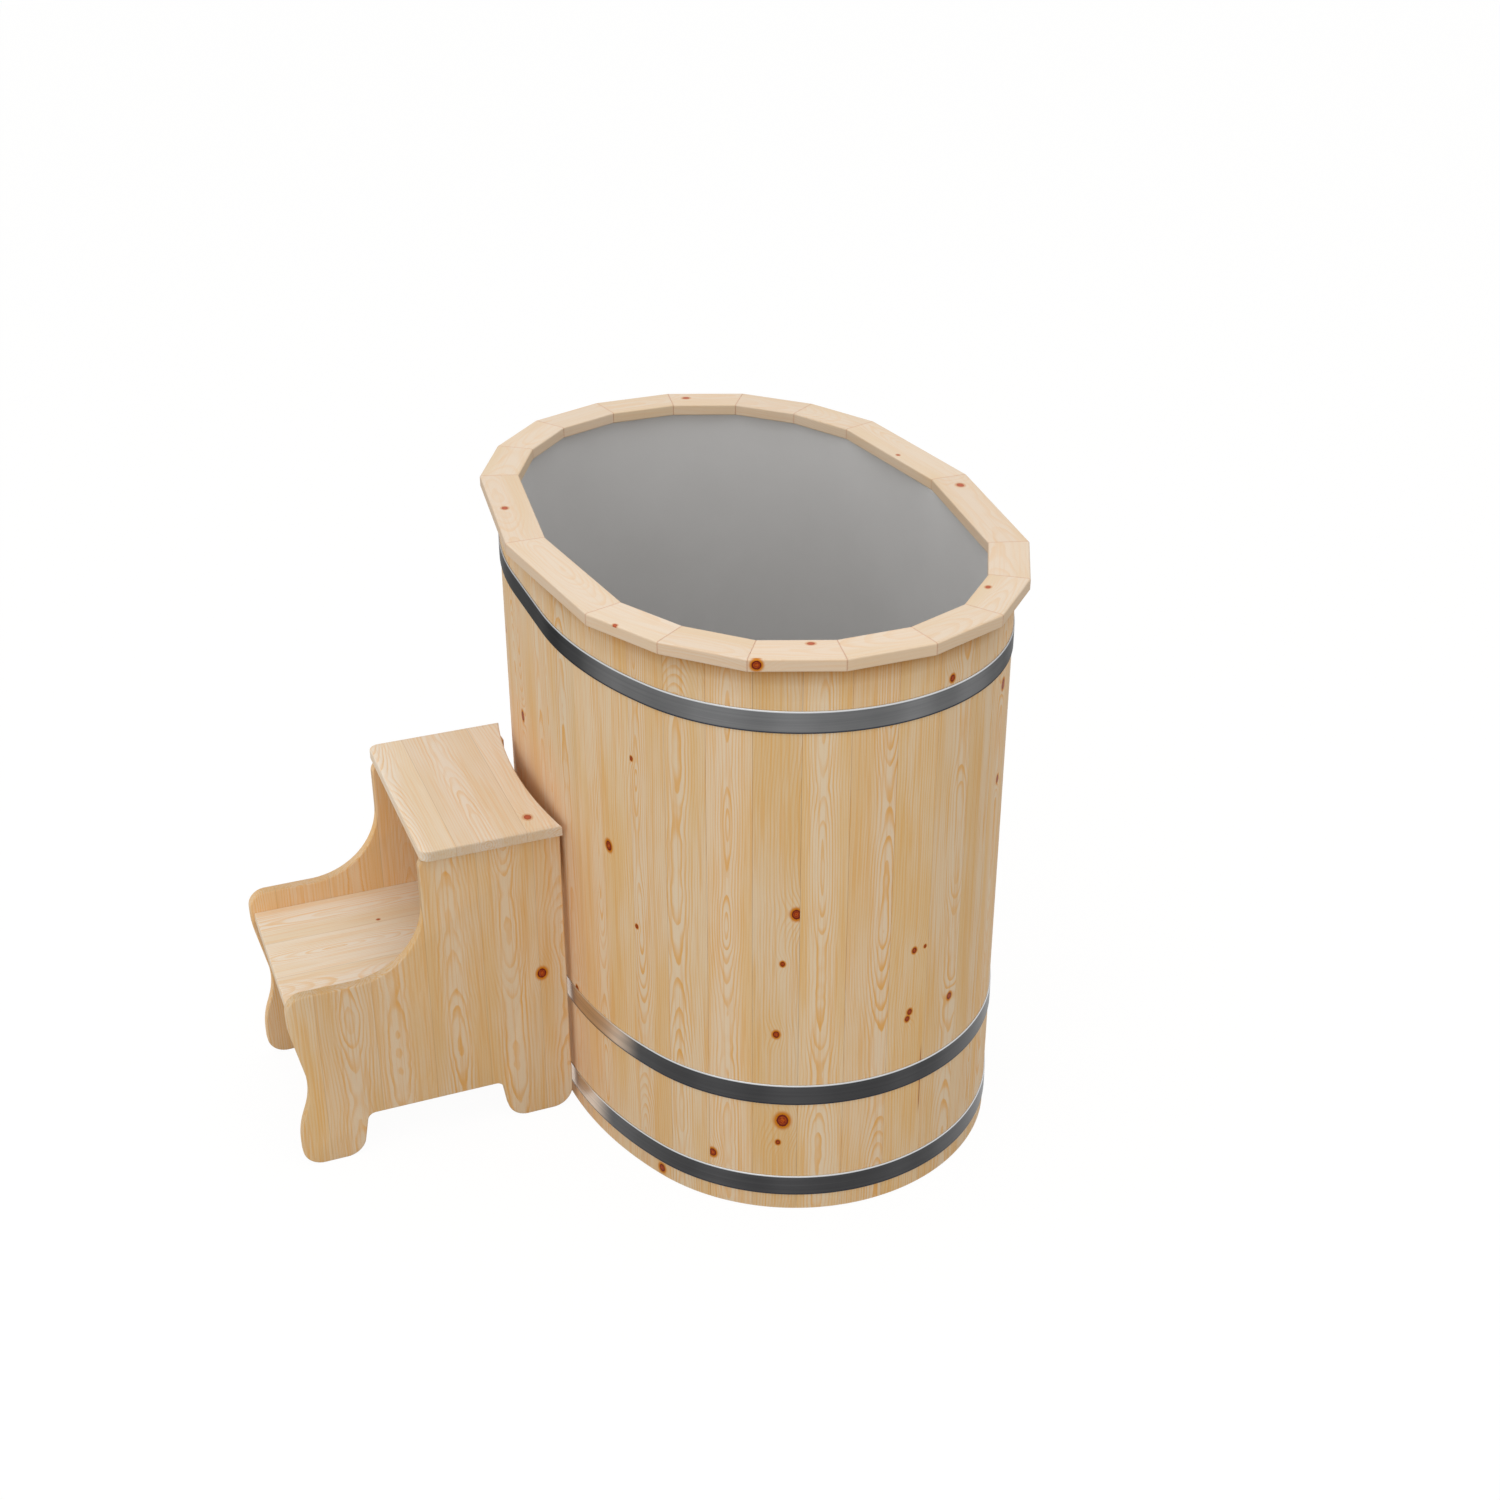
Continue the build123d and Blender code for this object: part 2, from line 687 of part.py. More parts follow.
# Lever grip
grip_end_x = lever_length - lever_width / 2 + grip_wall
with BuildPart() as lever_grip:
    with BuildSketch(Plane(origin=(0, valve_middle, lever_z - grip_wall))):
        with Locations((grip_end_x - grip_length / 2, 0)):
            RectangleRounded(grip_length, lever_width + 2 * grip_wall, 8.0)
    extrude(amount=lever_thickness + 2 * grip_wall)
    with BuildSketch(Plane(origin=(0, valve_middle, lever_z))):
        with Locations((lever_length / 2 - lever_width / 2, 0)):
            SlotOverall(lever_length, lever_width)
    extrude(amount=lever_thickness, mode=Mode.SUBTRACT)
lever_grip.part.label = "lever_grip"
export_step(lever_grip.part, "parts/lever_grip.step")

# Lever nut
with BuildPart() as lever_nut:
    with BuildSketch(Plane(origin=(0, valve_middle, lever_z + lever_thickness))):
        RegularPolygon(lever_nut_hex / 2, 6, major_radius=False)
        Circle(stem_diameter / 2, mode=Mode.SUBTRACT)
    extrude(amount=lever_nut_height)
lever_nut.part.label = "lever_nut"
export_step(lever_nut.part, "parts/lever_nut.step")

# Hose adapter
adapter_start = valve_end - adapter_insert
adapter_end = valve_end + adapter_collar + spigot_length
with BuildPart() as hose_adapter:
    with BuildSketch(drain_plane(adapter_start)):
        Circle(adapter_neck_diameter / 2)
    extrude(amount=adapter_insert)
    with BuildSketch(drain_plane(valve_end)):
        RegularPolygon(adapter_hex / 2, 6, major_radius=False)
    extrude(amount=adapter_collar)
    with BuildSketch(drain_plane(valve_end + adapter_collar)):
        Circle(spigot_diameter / 2)
    extrude(amount=spigot_length)
    chamfer(hose_adapter.edges().group_by(Axis.Y)[-1], 1.0)
    with BuildSketch(drain_plane(adapter_start)):
        Circle(drain_bore / 2 - 1)
    extrude(amount=adapter_end - adapter_start, mode=Mode.SUBTRACT)
hose_adapter.part.label = "hose_adapter"
export_step(hose_adapter.part, "parts/hose_adapter.step")

# Stool places
panel_outer_near = stool_centre_y - stool_width / 2
panel_outer_far = stool_centre_y + stool_width / 2
panel_inner_near = panel_outer_near + board_thickness
panel_inner_far = panel_outer_far - board_thickness
panel_top = upper_tread_z - board_thickness
lower_front_x = stool_rear_x - nose_reach
lower_back_x = lower_front_x + lower_tread_depth
upper_front_x = stool_rear_x - upper_tread_depth
cleat_top_lower = lower_tread_z - board_thickness


def panel_sketch():
    """Side of the stool, drawn with the distance from its rear edge and the height."""
    corners = [
        (0.0, 0.0, rear_foot_radius),
        (rear_foot_reach, 0.0, foot_radius),
        (arch_start, arch_height, arch_corner),
        (arch_end, arch_height, arch_corner),
        (front_foot_start, 0.0, foot_radius),
        (panel_reach, 0.0, foot_radius),
        (panel_reach, ankle_height, ankle_radius),
        (waist_reach, waist_height, waist_radius),
        (panel_reach, nose_height, nose_radius),
        (panel_reach, step_top_z, nose_corner),
        (back_curve_x, step_top_z, back_curve_radius),
        (back_curve_x, panel_top, panel_top_corner),
    ]
    rear_top = (0.0, panel_top)
    along_top = (back_curve_x / 2, panel_top)
    points = [rear_top] + [(x, z) for x, z, radius in corners] + [along_top]
    with BuildSketch() as sketch:
        with BuildLine():
            FilletPolyline(*points, radius=[radius for x, z, radius in corners])
            Line(along_top, rear_top)
        make_face()
    return sketch.sketch


# Side panels
for name, face_y in (("near_side_panel", panel_outer_near), ("far_side_panel", panel_inner_far)):
    with BuildPart() as panel:
        with BuildSketch(Plane(origin=(stool_rear_x, face_y, 0), x_dir=(-1, 0, 0),
                               z_dir=(0, 1, 0))):
            add(panel_sketch())
        extrude(amount=board_thickness)
        rounded = panel.edges().group_by(Axis.Y)
        fillet(rounded[0] + rounded[-1], panel_edge_radius)
    panel.part.label = name
    export_step(panel.part, "parts/" + name + ".step")

def cleat_screw_places(start_x, end_x, near_y, far_y):
    """Two screws in each of two cleats."""
    return [(x, y) for x in (start_x + cleat_setback, end_x - cleat_setback) for y in (near_y, far_y)]


near_cleat_y = panel_inner_near + cleat_size / 2
far_cleat_y = panel_inner_far - cleat_size / 2
lower_cleat_start = lower_front_x + cleat_setback
lower_cleat_end = lower_back_x - cleat_setback
rail_front_x = stool_rear_x - upper_tread_hollow - rail_setback - board_thickness
upper_cleat_start = upper_front_x + cleat_setback
upper_cleat_end = rail_front_x
lower_screws = cleat_screw_places(lower_cleat_start, lower_cleat_end, near_cleat_y, far_cleat_y)
upper_screws = cleat_screw_places(upper_cleat_start, upper_cleat_end, near_cleat_y, far_cleat_y)

# Upper tread
with BuildPart() as upper_tread:
    with BuildSketch(Plane.XY.offset(panel_top)):
        with BuildLine():
            Line((stool_rear_x, stool_centre_y - upper_tread_length / 2),
                 (upper_front_x, stool_centre_y - upper_tread_length / 2))
            Line((upper_front_x, stool_centre_y - upper_tread_length / 2),
                 (upper_front_x, stool_centre_y + upper_tread_length / 2))
            Line((upper_front_x, stool_centre_y + upper_tread_length / 2),
                 (stool_rear_x, stool_centre_y + upper_tread_length / 2))
            ThreePointArc((stool_rear_x, stool_centre_y + upper_tread_length / 2),
                          (stool_rear_x - upper_tread_hollow, stool_centre_y),
                          (stool_rear_x, stool_centre_y - upper_tread_length / 2))
        make_face()
    extrude(amount=board_thickness)
    fillet(upper_tread.edges().filter_by(Axis.Z).group_by(Axis.X)[0], upper_tread_corner)
    fillet(upper_tread.faces().sort_by(Axis.Z)[-1].edges(), tread_edge_radius)
    with BuildSketch(Plane.XY.offset(panel_top)):
        with Locations(*upper_screws):
            Circle(screw_diameter / 2)
    extrude(amount=screw_length - cleat_size, mode=Mode.SUBTRACT)
upper_tread.part.label = "upper_tread"
export_step(upper_tread.part, "parts/upper_tread.step")

# Lower tread
with BuildPart() as lower_tread:
    with Locations(((lower_front_x + lower_back_x) / 2, stool_centre_y,
                    lower_tread_z - board_thickness / 2)):
        Box(lower_tread_depth, panel_inner_far - panel_inner_near, board_thickness)
    fillet(lower_tread.edges().filter_by(Axis.Y).group_by(Axis.X)[0], tread_edge_radius)
    with BuildSketch(Plane.XY.offset(cleat_top_lower)):
        with Locations(*lower_screws):
            Circle(screw_diameter / 2)
    extrude(amount=screw_length - cleat_size, mode=Mode.SUBTRACT)
lower_tread.part.label = "lower_tread"
export_step(lower_tread.part, "parts/lower_tread.step")


# Cleats
for name, start_x, end_x, top_z, places in (
    ("lower_tread_cleats", lower_cleat_start, lower_cleat_end, cleat_top_lower, lower_screws),
    ("upper_tread_cleats", upper_cleat_start, upper_cleat_end, panel_top, upper_screws),
):
    with BuildPart() as cleats:
        with Locations(((start_x + end_x) / 2, near_cleat_y, top_z - cleat_size / 2),
                       ((start_x + end_x) / 2, far_cleat_y, top_z - cleat_size / 2)):
            Box(end_x - start_x, cleat_size, cleat_size)
        with BuildSketch(Plane.XY.offset(top_z - cleat_size)):
            with Locations(*places):
                Circle(screw_diameter / 2 + screw_clearance)
        extrude(amount=cleat_size, mode=Mode.SUBTRACT)
    cleats.part.label = name
    export_step(cleats.part, "parts/" + name + ".step")

# Rail under the upper tread
with BuildPart() as back_rail:
    with Locations((rail_front_x + board_thickness / 2, stool_centre_y, panel_top - rail_height / 2)):
        Box(board_thickness, panel_inner_far - panel_inner_near, rail_height)
back_rail.part.label = "back_rail"
export_step(back_rail.part, "parts/back_rail.step")

# Cleat screws
with BuildPart() as cleat_screws:
    for top_z, places in ((cleat_top_lower, lower_screws), (panel_top, upper_screws)):
        with BuildSketch(Plane.XY.offset(top_z - cleat_size)):
            with Locations(*places):
                Circle(screw_diameter / 2)
        extrude(amount=screw_length)
        with BuildSketch(Plane.XY.offset(top_z - cleat_size)):
            with Locations(*places):
                Circle(screw_head_diameter / 2)
        extrude(amount=-screw_diameter / 2)
cleat_screws.part.label = "cleat_screws"
export_step(cleat_screws.part, "parts/cleat_screws.step")
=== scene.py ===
"""Looks of an oval stave tub with its step stool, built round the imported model.

Sizes are in millimetres until a mesh is made, and are those of the part's own source.
+Z is up, +Y runs along the tub, and the stool stands on the -X side.
"""

from math import atan2, cos, hypot, pi, radians, sin

import bpy
import numpy as np
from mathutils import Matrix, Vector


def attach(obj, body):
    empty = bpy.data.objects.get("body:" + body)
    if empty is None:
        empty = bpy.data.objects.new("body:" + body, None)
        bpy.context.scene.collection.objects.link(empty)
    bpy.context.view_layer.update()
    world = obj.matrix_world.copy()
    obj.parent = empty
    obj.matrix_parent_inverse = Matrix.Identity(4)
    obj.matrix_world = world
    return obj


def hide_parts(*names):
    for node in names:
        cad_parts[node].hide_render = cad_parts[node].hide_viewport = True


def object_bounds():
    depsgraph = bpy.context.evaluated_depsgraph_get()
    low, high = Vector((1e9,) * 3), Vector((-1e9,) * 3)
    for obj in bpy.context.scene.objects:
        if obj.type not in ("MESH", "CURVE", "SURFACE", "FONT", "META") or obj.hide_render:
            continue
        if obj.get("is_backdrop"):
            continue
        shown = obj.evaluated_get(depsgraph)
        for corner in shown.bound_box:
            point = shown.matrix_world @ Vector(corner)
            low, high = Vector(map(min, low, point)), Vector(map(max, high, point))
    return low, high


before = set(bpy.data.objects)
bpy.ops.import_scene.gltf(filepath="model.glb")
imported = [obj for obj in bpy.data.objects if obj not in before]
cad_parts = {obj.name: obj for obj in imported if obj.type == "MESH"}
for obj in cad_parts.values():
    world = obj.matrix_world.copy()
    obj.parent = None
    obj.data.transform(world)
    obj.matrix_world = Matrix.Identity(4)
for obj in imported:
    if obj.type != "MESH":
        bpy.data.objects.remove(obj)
cad_low, cad_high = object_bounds()

METRE = 0.001

# ---------------------------------------------------------------- sizes

tub_height = 1000.0
half_length = 557.0
half_width = 369.0
end_radius = 333.0
side_straight = 76.0

stave_count = 42
stave_turn = 16.5
stave_thickness = 28.0
stave_gap = 0.2
stave_lift = 2.0
bead_radius = 4.6
cove_radius = 4.9

rim_width = 64.0
rim_thickness = 20.0
rim_mitre_gap = 0.2
rim_inner_half_width = 335.5
rim_inner_half_length = 503.5
rim_corner_shares = [(0.1714, 1.0), (0.4873, 0.9196), (0.7288, 0.7567), (0.8957, 0.5422), (1.0, 0.0)]

liner_inset = 28.5
liner_wall = 4.0
liner_flange_inset = 14.5
liner_bottom = 82.5
liner_floor = 87.5
liner_floor_radius = 16.0
stave_top = 980.0
flange_under = 976.0

hoop_thickness = 2.0
hoop_opening = 24.0
# middle height and width of each hoop, and how far its painted reflection of the stool, or on the
# upper hoop its painted shade, reaches from the stool's middle before it begins to fade and after
hoops = {"upper_hoop": (894.5, 36.0, 180.0, 430.0), "middle_hoop": (232.5, 38.0, 310.0, 385.0),
         "lower_hoop": (50.5, 38.0, 232.0, 306.0)}

drain_z = 136.0
drain_hole_radius = 17.0

stool_rear_x = -375.0
stool_middle_y = 35.0
board_thickness = 18.0
panel_faces_y = {"near_side_panel": (-140.0, -122.0), "far_side_panel": (192.0, 210.0)}
panel_top = 550.0
panel_corners = [
    (0, 0, 36), (110, 0, 34), (122, 78, 14), (352, 78, 14), (366, 0, 34), (466, 0, 34),
    (466, 76, 150), (440, 150, 130), (466, 278, 150), (466, 338, 30), (233, 338, 122),
    (233, 550, 22), (0, 550, 3.3),
]
upper_tread_depth = 231.0
upper_tread_length = 380.0
upper_tread_hollow = 20.0
lower_tread_x = (-835.0, -535.0)
lower_tread_top = 300.0
cleat_size = 24.0

# ---------------------------------------------------------------- the tub's outline

end_centre_y = half_length - end_radius
side_radius = (half_width ** 2 + (end_centre_y - side_straight) ** 2 - end_radius ** 2) / (
    2 * (half_width - end_radius))
side_centre_x = half_width - side_radius
turn = atan2(end_centre_y - side_straight, side_radius - half_width)
quarter_end = end_radius * (pi / 2 - turn)
quarter_side = side_radius * turn
quarter = quarter_end + quarter_side + side_straight
girth = 4 * quarter
stave_pitch = girth / stave_count


def wall(distance, inset, height):
    """Points of the tub wall from the distance along its outline, clockwise from the far tip, the
    inset from the outline and the height. A quarter of the outline is an end arc, a side arc and a
    straight side that meet with one tangent, and the other quarters are its mirror images. The
    inset moves a point along the outline's normal."""
    distance, inset, height = np.broadcast_arrays(distance, inset, height)
    along = np.mod(distance, girth)
    part = np.minimum(np.floor(along / quarter), 3)
    along = along - part * quarter
    along = np.where(part % 2 == 1, quarter - along, along)
    on_end = along < quarter_end
    on_side = ~on_end & (along < quarter_end + quarter_side)
    angle = np.where(on_end, pi / 2 - along / end_radius,
                     np.where(on_side, turn - (along - quarter_end) / side_radius, 0.0))
    radius = np.where(on_end, end_radius, side_radius)
    x = np.where(on_end, 0.0, side_centre_x) + radius * np.cos(angle)
    y = np.where(on_end, end_centre_y, side_straight) + radius * np.sin(angle)
    x = np.where(on_end | on_side, x, half_width)
    y = np.where(on_end | on_side, y, quarter - along)
    right = np.where(part < 2, 1.0, -1.0)
    far = np.where((part == 0) | (part == 3), 1.0, -1.0)
    out_x, out_y = right * np.cos(angle), far * np.sin(angle)
    return np.stack([right * x - inset * out_x, far * y - inset * out_y, height], -1)


# ---------------------------------------------------------------- meshes


def arc(centre, radius, start, end, steps):
    """Points of a circle's arc: centre plus radius times cosine and sine, from start to end degrees."""
    a = np.radians(np.linspace(start, end, steps))
    return np.stack([centre[0] + radius * np.cos(a), centre[1] + radius * np.sin(a)], -1)


def run(start, end, steps):
    """Points evenly spaced on a straight line, both ends left out."""
    t = np.linspace(0, 1, steps + 2)[1:-1, None]
    return (1 - t) * np.array(start, float) + t * np.array(end, float)


def rounded_box(x0, y0, x1, y1, radii, steps=6):
    """Closed outline of a box, anticlockwise, with a quarter arc of its own radius at each corner:
    lower left, lower right, upper right and upper left."""
    corners = [((x0, y0), (1, 1), 180), ((x1, y0), (-1, 1), 270), ((x1, y1), (-1, -1), 0), ((x0, y1), (1, -1), 90)]
    parts = []
    for (corner, inward, start), radius in zip(corners, radii):
        centre = (corner[0] + inward[0] * radius, corner[1] + inward[1] * radius)
        parts.append(arc(centre, radius, start, start + 90, steps))
    return np.concatenate(parts)


def filleted(corners, steps_per_turn=160):
    """Closed outline through corner points, each rounded by an arc tangent to both of its edges.
    The arc starts at radius times the tangent of half the turn from the corner."""
    points = np.array([c[:2] for c in corners], float)
    parts = []
    for here, (x, y, radius) in enumerate(corners):
        corner = points[here]
        before = points[here - 1] - corner
        after = points[(here + 1) % len(points)] - corner
        before /= hypot(*before)
        after /= hypot(*after)
        half = 0.5 * np.arccos(np.clip(before @ after, -1, 1))
        middle = (before + after) / hypot(*(before + after))
        centre = corner + middle * radius / sin(half)
        first = corner + before * radius / np.tan(half) - centre
        last = corner + after * radius / np.tan(half) - centre
        start = atan2(first[1], first[0])
        sweep = (atan2(last[1], last[0]) - start + pi) % (2 * pi) - pi
        steps = max(4, int(abs(sweep) / (2 * pi) * steps_per_turn))
        parts.append(arc(centre, radius, np.degrees(start), np.degrees(start + sweep), steps))
    return np.concatenate(parts)


def thinned(outline, least=0.05):
    """The outline without points that coincide with the one before."""
    gap = np.linalg.norm(outline - np.roll(outline, 1, axis=0), axis=1)
    return outline[gap > least]


def shrunk(outline, amount):
    """A closed outline moved inwards along the mean normal of each point's two edges, lengthened so
    that the edges themselves move by the amount."""
    before = outline - np.roll(outline, 1, axis=0)
    after = np.roll(outline, -1, axis=0) - outline
    before /= np.linalg.norm(before, axis=1)[:, None]
    after /= np.linalg.norm(after, axis=1)[:, None]
    area = np.sum(outline[:, 0] * np.roll(outline[:, 1], -1) - np.roll(outline[:, 0], -1) * outline[:, 1])
    side = 1.0 if area > 0 else -1.0
    n1 = side * np.stack([-before[:, 1], before[:, 0]], -1)
    n2 = side * np.stack([-after[:, 1], after[:, 0]], -1)
    mean = (n1 + n2) / (1 + np.sum(n1 * n2, axis=1))[:, None]
    return outline + amount * mean


class Shell:
    """A closed skin: rows of a closed profile carried along a path, with a face on each end unless
    the path itself closes. The skin is turned the right way round by the sign of its volume."""

    def __init__(self, rows, closed_path=False, ends=True, **marks):
        rows = np.asarray(rows, float)
        self.rows, self.steps = rows.shape[:2]
        self.points = rows.reshape(-1, 3)
        self.marks = {k: np.broadcast_to(np.asarray(v, float), rows.shape[:2] + np.shape(v)[-1:] if np.ndim(v) in (1, 3) else rows.shape[:2])
                      for k, v in marks.items()}
        i = np.arange(self.rows if closed_path else self.rows - 1)[:, None]
        j = np.arange(self.steps)[None, :]
        n, m = (i + 1) % self.rows, (j + 1) % self.steps
        quads = np.stack(np.broadcast_arrays(i * self.steps + j, i * self.steps + m,
                                             n * self.steps + m, n * self.steps + j), -1).reshape(-1, 4)
        self.quads = quads
        self.ends = []
        if ends and not closed_path:
            self.ends = [np.arange(self.steps)[::-1], (self.rows - 1) * self.steps + np.arange(self.steps)]
        if self.volume() < 0:
            self.quads = self.quads[:, ::-1]
            self.ends = [e[::-1] for e in self.ends]

    def volume(self):
        """Sum over the faces of a sixth of the triple product of each fan triangle."""
        p = self.points
        q = self.quads
        total = np.sum(np.einsum("ij,ij->i", p[q[:, 0]], np.cross(p[q[:, 1]], p[q[:, 2]])))
        total += np.sum(np.einsum("ij,ij->i", p[q[:, 0]], np.cross(p[q[:, 2]], p[q[:, 3]])))
        for e in self.ends:
            a, b = p[e[1:-1]], p[e[2:]]
            total += np.sum(np.cross(a, b) @ p[e[0]])
        return total / 6


def make_piece(name, shells, material, body, replaced=(), sharp=35.0):
    """One object from closed skins, smooth-shaded up to the sharp angle, its marks kept as point
    attributes for the materials to read. Points are turned from millimetres into metres."""
    points, faces, offset = [], [], 0
    for s in shells:
        points.append(s.points * METRE)
        faces += (s.quads + offset).tolist() + [(e + offset).tolist() for e in s.ends]
        offset += len(s.points)
    mesh = bpy.data.meshes.new(name)
    mesh.from_pydata(np.concatenate(points).tolist(), [], faces)
    for key in shells[0].marks:
        values = [s.marks[key] for s in shells]
        vector = values[0].ndim == 3
        flat = np.concatenate([v.reshape(-1, 3) if vector else v.reshape(-1) for v in values])
        layer = mesh.attributes.new(key, "FLOAT_VECTOR" if vector else "FLOAT", "POINT")
        layer.data.foreach_set("vector" if vector else "value", flat.astype(np.float32).ravel())
    mesh.update()
    mesh.polygons.foreach_set("use_smooth", np.ones(len(mesh.polygons), bool))
    mesh.set_sharp_from_angle(angle=radians(sharp))
    piece = bpy.data.objects.new(name, mesh)
    bpy.context.scene.collection.objects.link(piece)
    mesh.materials.append(material)
    weighted = piece.modifiers.new("face weighted shading", "WEIGHTED_NORMAL")
    weighted.keep_sharp = True
    weighted.weight = 100
    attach(piece, body)
    if replaced:
        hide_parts(*replaced)
    return piece


# ---------------------------------------------------------------- material building


class Formula:
    """A shader tree being written. Its methods add one node each and return the output socket, so
    that a material reads as the arithmetic it does."""

    def __init__(self, tree):
        self.tree = tree
        self.count = 0

    def node(self, kind, **settings):
        node = self.tree.nodes.new(kind)
        for key, value in settings.items():
            setattr(node, key, value)
        node.location = (220 * (self.count // 8), -170 * (self.count % 8))
        self.count += 1
        return node

    def feed(self, socket, value):
        if isinstance(value, bpy.types.NodeSocket):
            self.tree.links.new(value, socket)
        elif value is not None:
            socket.default_value = value

    def math(self, operation, *values, clamp=False):
        node = self.node("ShaderNodeMath", operation=operation, use_clamp=clamp)
        for socket, value in zip(node.inputs, values):
            self.feed(socket, value)
        return node.outputs[0]

    def add(self, a, b):
        return self.math("ADD", a, b)

    def sub(self, a, b):
        return self.math("SUBTRACT", a, b)

    def mul(self, a, b):
        return self.math("MULTIPLY", a, b)

    def muladd(self, a, b, c):
        return self.math("MULTIPLY_ADD", a, b, c)

    def ramp(self, value, low, high, start=0.0, end=1.0, smooth=True):
        node = self.node("ShaderNodeMapRange", interpolation_type="SMOOTHSTEP" if smooth else "LINEAR")
        for socket, given in zip(node.inputs, (value, low, high, start, end)):
            self.feed(socket, given)
        return node.outputs[0]

    def split(self, vector):
        node = self.node("ShaderNodeSeparateXYZ")
        self.feed(node.inputs[0], vector)
        return node.outputs[0], node.outputs[1], node.outputs[2]

    def join(self, x, y, z):
        node = self.node("ShaderNodeCombineXYZ")
        for socket, value in zip(node.inputs, (x, y, z)):
            self.feed(socket, value)
        return node.outputs[0]

    def noise(self, vector, scale=1.0, detail=2.0, rough=0.5):
        node = self.node("ShaderNodeTexNoise", noise_dimensions="3D")
        self.feed(node.inputs["Vector"], vector)
        node.inputs["Scale"].default_value = scale
        node.inputs["Detail"].default_value = detail
        node.inputs["Roughness"].default_value = rough
        return node.outputs[0]

    def chance(self, seed):
        """Three unrelated numbers from 0 to 1 that stay the same for one seed."""
        node = self.node("ShaderNodeTexWhiteNoise", noise_dimensions="1D")
        self.feed(node.inputs["W"], seed)
        return self.split(node.outputs["Color"])

    def mix(self, share, a, b, blend="MIX"):
        node = self.node("ShaderNodeMix", data_type="RGBA", blend_type=blend, clamp_factor=True)
        for socket, value in ((node.inputs[0], share), (node.inputs[6], a), (node.inputs[7], b)):
            self.feed(socket, value)
        return node.outputs[2]

    def attribute(self, name, vector=False):
        node = self.node("ShaderNodeAttribute", attribute_name=name)
        return node.outputs["Vector" if vector else "Fac"]


def group(name, inputs, outputs):
    """An empty node group with named sockets, and the formula that writes it."""
    tree = bpy.data.node_groups.new(name, "ShaderNodeTree")
    kinds = {"value": "NodeSocketFloat", "vector": "NodeSocketVector", "colour": "NodeSocketColor"}
    for socket, kind in inputs:
        tree.interface.new_socket(name=socket, in_out="INPUT", socket_type=kinds[kind])
    for socket, kind in outputs:
        tree.interface.new_socket(name=socket, in_out="OUTPUT", socket_type=kinds[kind])
    formula = Formula(tree)
    given = formula.node("NodeGroupInput")
    result = formula.node("NodeGroupOutput")
    return tree, formula, given.outputs, result.inputs


